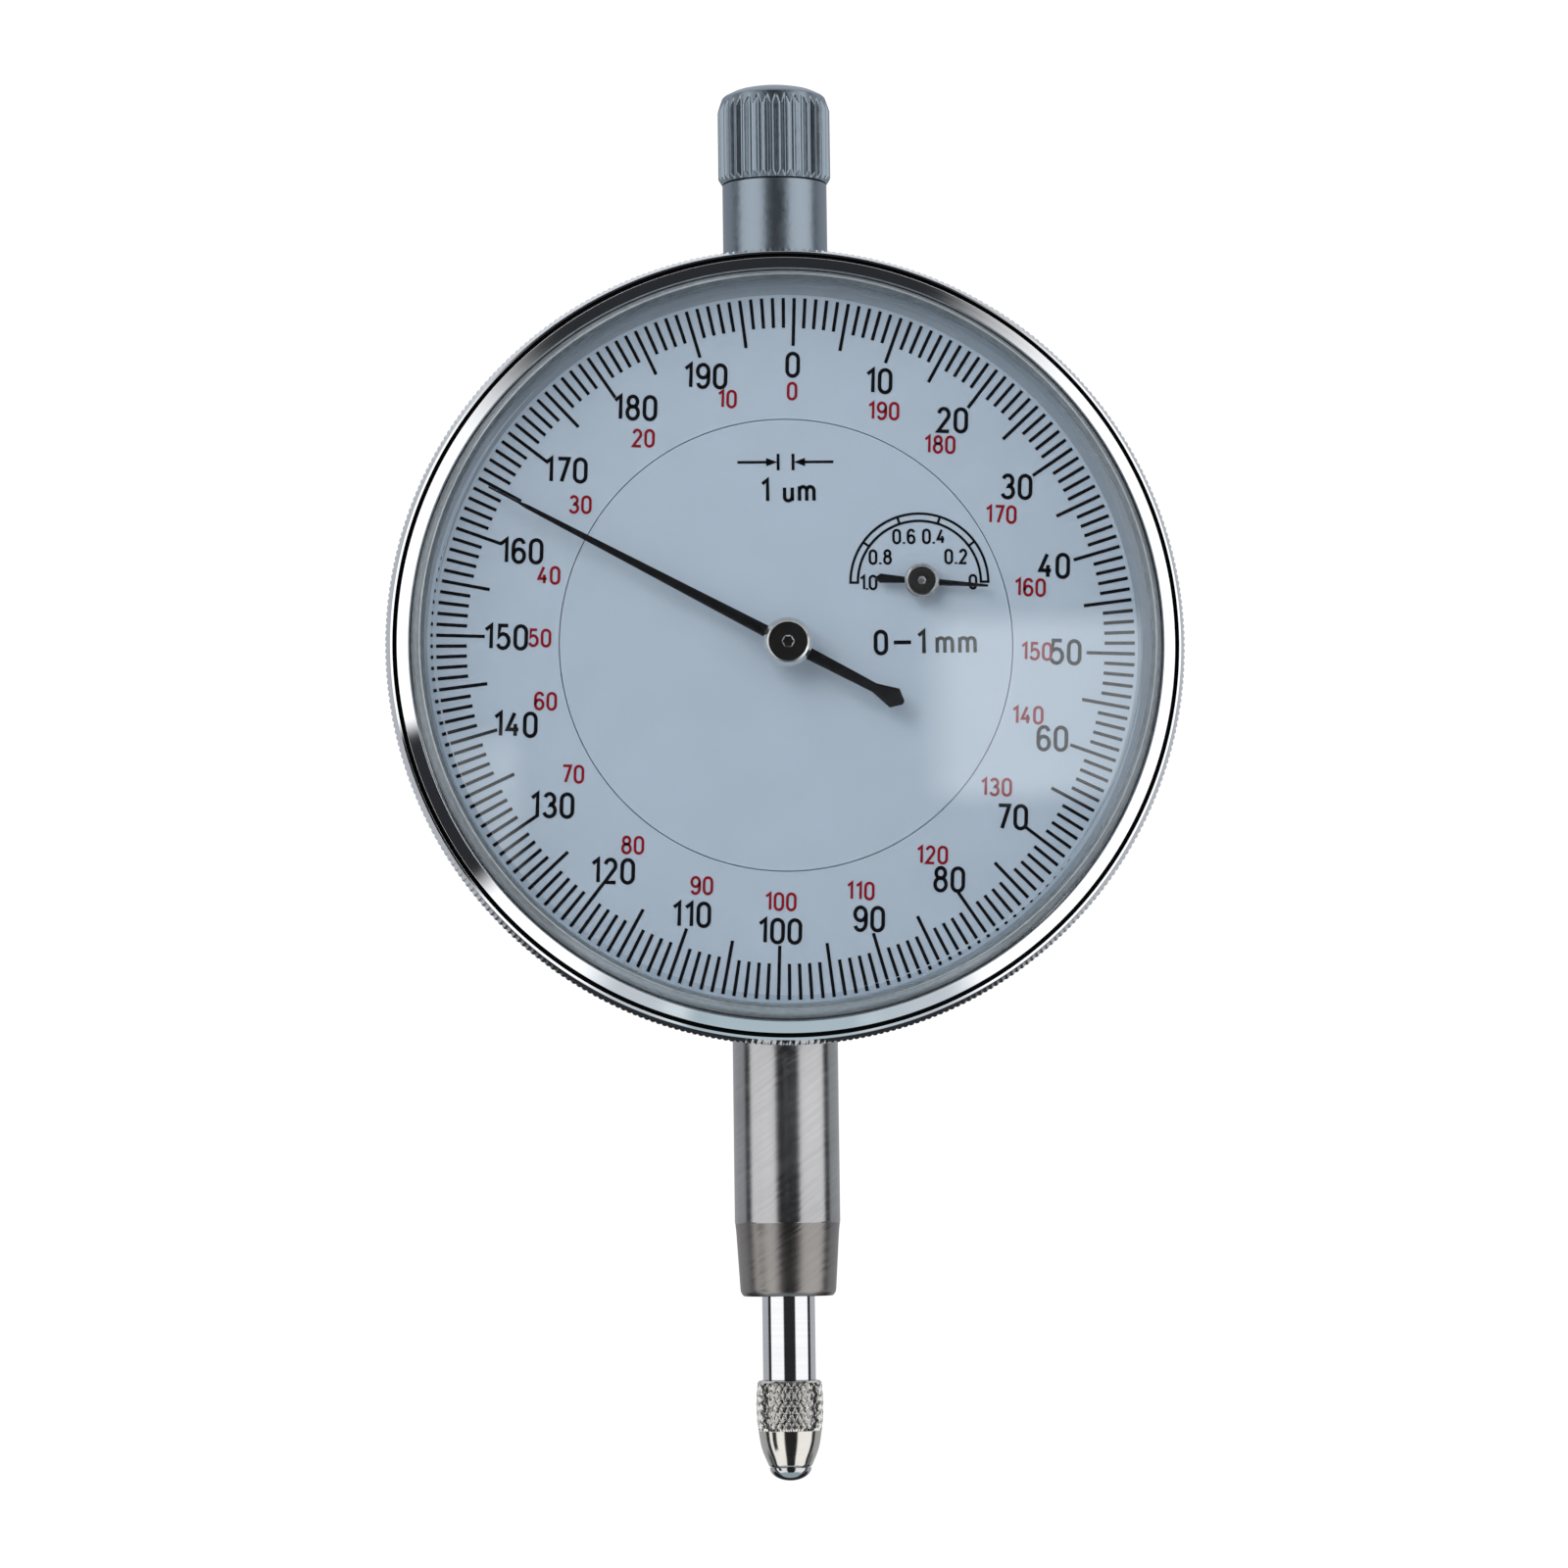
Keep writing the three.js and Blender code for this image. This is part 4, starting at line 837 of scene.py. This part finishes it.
def make_cover():
    """The back cover: a disc with a rounded edge and a hole for each screw."""
    low, high = box_mm("back_cover")
    radius = (high.x - low.x) / 2
    line = rounded([(0, low.y), (radius, low.y), (radius, high.y, 0.5), (0, high.y)], steps=6)
    cover = piece("back_cover_finished", *turned(line, 256, on_dial()), "case", ["back_cover"],
                  "case_metal")
    drill(cover, [drill_bit(on_dial(at_screw(node)), SCREW_HOLE, low.y - 1, high.y + 1)
                  for node in COVER_SCREWS + LUG_SCREWS])


def make_lug():
    """A copy of the CAD lug with its sharp edges broken and its round faces smooth."""
    work = bmesh.new()
    work.from_mesh(frame["nodes"]["mounting_lug"].data)
    bmesh.ops.remove_doubles(work, verts=work.verts, dist=0.003 * MM)
    bmesh.ops.dissolve_limit(work, angle_limit=math.radians(0.5), verts=work.verts, edges=work.edges)
    sharp = [e for e in work.edges if len(e.link_faces) == 2 and e.calc_face_angle() > math.radians(35)]
    bmesh.ops.bevel(work, geom=sharp, offset=0.3 * MM, segments=3, profile=0.5, affect="EDGES",
                    clamp_overlap=True)
    work.verts.index_update()
    verts = [v.co / MM for v in work.verts]
    faces = [[v.index for v in f.verts] for f in work.faces]
    work.free()
    lug = piece("mounting_lug_finished", verts, faces, "case", ["mounting_lug"], "case_metal")
    lug.modifiers.new("even_shading", "WEIGHTED_NORMAL").keep_sharp = True


def screw(node, angle):
    """A slotted cheese-head screw that stands out of the back of the case."""
    low, high = box_mm(node)
    radius, top = (high.x - low.x) / 2, high.y
    head, slot_depth, shank = top - 0.8, 0.4, radius * 0.5
    line = rounded([(0, top), (radius, top, 0.25), (radius, head, 0.03), (shank, head),
                    (shank, low.y), (0, low.y)])
    made = piece(node + "_slotted", *turned(line, 64, on_dial(at_screw(node))), "case", [node],
                 "screw_steel")
    place = middle(node)
    drill(made, [slot_bit(place.x, place.z, angle, top - slot_depth, top + 1)])


def make_case():
    make_shell()
    make_cover()
    make_lug()
    for node, angle in zip(COVER_SCREWS + LUG_SCREWS, SLOT_ANGLES):
        screw(node, angle)


def finish_cad_nodes():
    """The CAD nodes that are still shown get the same materials as the new pieces."""
    for node in frame["nodes"].values():
        if not node.hide_render:
            for slot in node.material_slots:
                slot.material = MATERIALS[slot.material.name.split(".")[0]]


# ---------------------------------------------------------------- studio

DARK, GREY, WHITE = (0.02, 0.021, 0.023), (0.38, 0.39, 0.41), (1.0, 1.0, 1.0)
SKIRT_COLOUR, GROUND_COLOUR = (0.45, 0.48, 0.51), (0.35, 0.425, 0.46)
REAR_COLOUR, CEILING_COLOUR = (0.55, 0.57, 0.60), (0.30, 0.32, 0.35)
OFF, ON = (0, 0, 0), (1, 1, 1)
TENT_STRENGTH, BACKDROP_STRENGTH = 1.25, 1.05


def maths(tree, operation, a, b=0.0):
    return add(tree, "ShaderNodeMath", {0: a, 1: b}, operation=operation).outputs[0]


def band(tree, value, stops, colours):
    """A colour that passes softly through colours as value passes the stops."""
    ramp = add(tree, "ShaderNodeValToRGB", {"Fac": value})
    ramp.color_ramp.interpolation = "EASE"
    while len(ramp.color_ramp.elements) < len(stops):
        ramp.color_ramp.elements.new(0.5)
    for element, stop, colour in zip(ramp.color_ramp.elements, stops, colours):
        element.position, element.color = stop, (*colour, 1)
    return ramp.outputs["Color"]


def rise(tree, value, start, end):
    """0 before start and 1 after end."""
    return band(tree, value, (0.0, start, end, 1.0), (OFF, OFF, ON, ON))


def fall(tree, value, start, end):
    """1 before start and 0 after end."""
    return band(tree, value, (0.0, start, end, 1.0), (ON, ON, OFF, OFF))


def between(tree, value, start, inside, leaving, end):
    """1 from inside to leaving, and 0 before start and after end."""
    return band(tree, value, (0.0, start, inside, leaving, end, 1.0), (OFF, OFF, ON, ON, OFF, OFF))


def blend_in(tree, factor, first, second):
    mixed = add(tree, "ShaderNodeMix", {"Factor": factor, 6: first, 7: second}, data_type="RGBA")
    return mixed.outputs[2]


def tent_colour(tree):
    """The colour in each direction: dark in front, white sides and grey behind, with zones over them."""
    way = add(tree, "ShaderNodeTexCoord").outputs["Generated"]
    part = add(tree, "ShaderNodeSeparateXYZ", {0: way})

    def both(first, second):
        return maths(tree, "MULTIPLY", first, second)

    # around: 0 straight in front of the dial, 1 straight behind it. height: 0 down, 1 up.
    turn = maths(tree, "ARCTAN2", maths(tree, "ABSOLUTE", part.outputs["X"]),
                 maths(tree, "MULTIPLY", part.outputs["Y"], -1.0))
    around = maths(tree, "DIVIDE", turn, math.pi)
    tilt = maths(tree, "ARCSINE", part.outputs["Z"])
    height = maths(tree, "ADD", maths(tree, "DIVIDE", tilt, math.pi), 0.5)
    on_the_left = maths(tree, "LESS_THAN", part.outputs["X"], 0.0)

    tent = band(tree, around, (0.0, 0.125, 0.16, 0.47, 0.50, 0.56, 0.60, 1.0),
                (DARK, DARK, WHITE, WHITE, DARK, DARK, GREY, GREY))
    behind = rise(tree, around, 0.58, 0.62)
    shade = both(behind, fall(tree, height, 0.32, 0.40))
    roof = both(fall(tree, around, 0.33, 0.42), rise(tree, height, 0.68, 0.80))
    card = both(both(between(tree, around, 0.30, 0.33, 0.40, 0.43), on_the_left),
                between(tree, height, 0.31, 0.34, 0.455, 0.475))
    skirt = both(fall(tree, height, 0.20, 0.24), rise(tree, around, 0.15, 0.20))
    zones = [
        (shade, DARK),
        (roof, DARK),
        (card, DARK),
        (both(skirt, maths(tree, "SUBTRACT", 1.0, shade)), SKIRT_COLOUR),
        (fall(tree, height, 0.15, 0.19), GROUND_COLOUR),
        (both(behind, rise(tree, height, 0.60, 0.68)), REAR_COLOUR),
        (rise(tree, height, 0.955, 0.985), CEILING_COLOUR),
    ]
    for factor, colour in zones:
        tent = blend_in(tree, factor, tent, (*colour, 1))
    return tent


def make_tent():
    """A soft light tent all round. The camera sees plain white in its place."""
    world = bpy.data.worlds.new("studio")
    bpy.context.scene.world = world
    world.use_nodes = True
    tree = world.node_tree
    background = tree.nodes["Background"]
    seen = add(tree, "ShaderNodeLightPath").outputs["Is Camera Ray"]
    strength = add(tree, "ShaderNodeMapRange", {0: seen, 3: TENT_STRENGTH, 4: BACKDROP_STRENGTH})
    tree.links.new(blend_in(tree, seen, tent_colour(tree), (*WHITE, 1)), background.inputs["Color"])
    tree.links.new(strength.outputs[0], background.inputs["Strength"])


def soft_glow(name, strength, soft):
    """A light-giving material that fades out near a sheet's edges, over the share soft of its size."""
    glow = bpy.data.materials.new(name)
    glow.use_nodes = True
    tree = glow.node_tree
    at = add(tree, "ShaderNodeSeparateXYZ", {0: add(tree, "ShaderNodeTexCoord").outputs["Generated"]})
    total = strength
    for axis in ("X", "Z"):
        for start, end in ((0.0, soft), (1.0, 1.0 - soft)):
            edge = add(tree, "ShaderNodeMapRange", {0: at.outputs[axis], 1: start, 2: end},
                       interpolation_type="SMOOTHSTEP")
            total = maths(tree, "MULTIPLY", total, edge.outputs[0])
    shine = add(tree, "ShaderNodeEmission", {"Color": (0.93, 0.97, 1.0, 1), "Strength": total})
    tree.links.new(shine.outputs[0], tree.nodes["Material Output"].inputs["Surface"])
    return glow


def window(name, low, high, strength):
    """A soft-edged glowing sheet, placed so that the crystal mirrors it between two points (x, z)."""
    eye = camera_place() / MM
    corners = []
    for x, z in ((low[0], low[1]), (high[0], low[1]), (high[0], high[1]), (low[0], high[1])):
        corners.append(Vector((2 * (DIAL.x + x) - eye.x, eye.y, 2 * (DIAL.z + z) - eye.z)) * MM)
    mesh = bpy.data.meshes.new(name)
    mesh.from_pydata(corners, [], [(0, 1, 2, 3)])
    mesh.materials.append(soft_glow(name, strength, 0.16))
    sheet = bpy.data.objects.new(name, mesh)
    bpy.context.collection.objects.link(sheet)
    sheet.visible_camera = sheet.visible_diffuse = sheet.visible_shadow = False


def make_fill():
    """A soft lamp up at the front left that lights the dull surfaces and leaves no reflection."""
    data = bpy.data.lights.new("fill", "AREA")
    data.size, data.energy = 0.3, 0.9
    fill = bpy.data.objects.new("fill", data)
    bpy.context.collection.objects.link(fill)
    fill.location = (-0.25, -0.40, 0.30)
    fill.rotation_euler = (DIAL * MM - fill.location).to_track_quat("-Z", "Y").to_euler()
    fill.visible_glossy = False


def make_floor(radius=285, gap=25, segments=128):
    """A round sheet of pale paper, a little below the contact point."""
    height = box_mm("contact_tip")[0].z - gap
    mesh = bpy.data.meshes.new("floor")
    mesh.from_pydata([Vector((x, y, height)) * MM for x, y in oval(0, 0, radius, radius, segments)], [],
                     [tuple(range(segments))])
    mesh.materials.append(surface("floor_paper", (0.86, 0.87, 0.88), 0.8, metal=0, scale=300, vary=0.01))
    floor = bpy.data.objects.new("floor", mesh)
    bpy.context.collection.objects.link(floor)
    floor.visible_glossy = False


def make_studio():
    make_tent()
    window("window_right", (8.8, -13.0), (36.0, 2.6), 2.05)
    window("window_left", (-34.0, -27.0), (-19.0, -5.5), 1.3)
    make_fill()
    make_floor()


# ---------------------------------------------------------------- camera

CAMERA_TARGET = Vector((0.154, 0, 26.26))
CAMERA_DISTANCE = 450
CAMERA_SIDE, CAMERA_RISE, CAMERA_ROLL = -2.82, -4.27, 0.73    # degrees
CAMERA_LENS, CAMERA_SENSOR = 135.5, 36


def camera_way():
    """The direction from the object to the camera."""
    side, rise = math.radians(CAMERA_SIDE), math.radians(CAMERA_RISE)
    return Vector((math.sin(side) * math.cos(rise), -math.cos(side) * math.cos(rise), math.sin(rise)))


def camera_place():
    """Where the camera stands, in metres."""
    return (CAMERA_TARGET + camera_way() * CAMERA_DISTANCE) * MM


def make_camera():
    data = bpy.data.cameras.new("camera")
    data.lens, data.sensor_width = CAMERA_LENS, CAMERA_SENSOR
    camera = bpy.data.objects.new("camera", data)
    bpy.context.collection.objects.link(camera)
    back = camera_way()
    right = Vector((0, 0, 1)).cross(back).normalized()
    up = back.cross(right)
    roll = math.radians(CAMERA_ROLL)
    top = up * math.cos(roll) + right * math.sin(roll)
    across = right * math.cos(roll) - up * math.sin(roll)
    turn = Matrix((across, top, back)).transposed().to_4x4()
    camera.matrix_world = Matrix.Translation(camera_place()) @ turn
    data.clip_start, data.clip_end = 0.01, 20
    bpy.context.scene.camera = camera


make_bezel()
make_crystal()
make_dial()
make_hands()
make_spindle()
make_spring()
make_case()
finish_cad_nodes()
make_studio()
make_camera()
bpy.context.scene.view_settings.view_transform = "Standard"
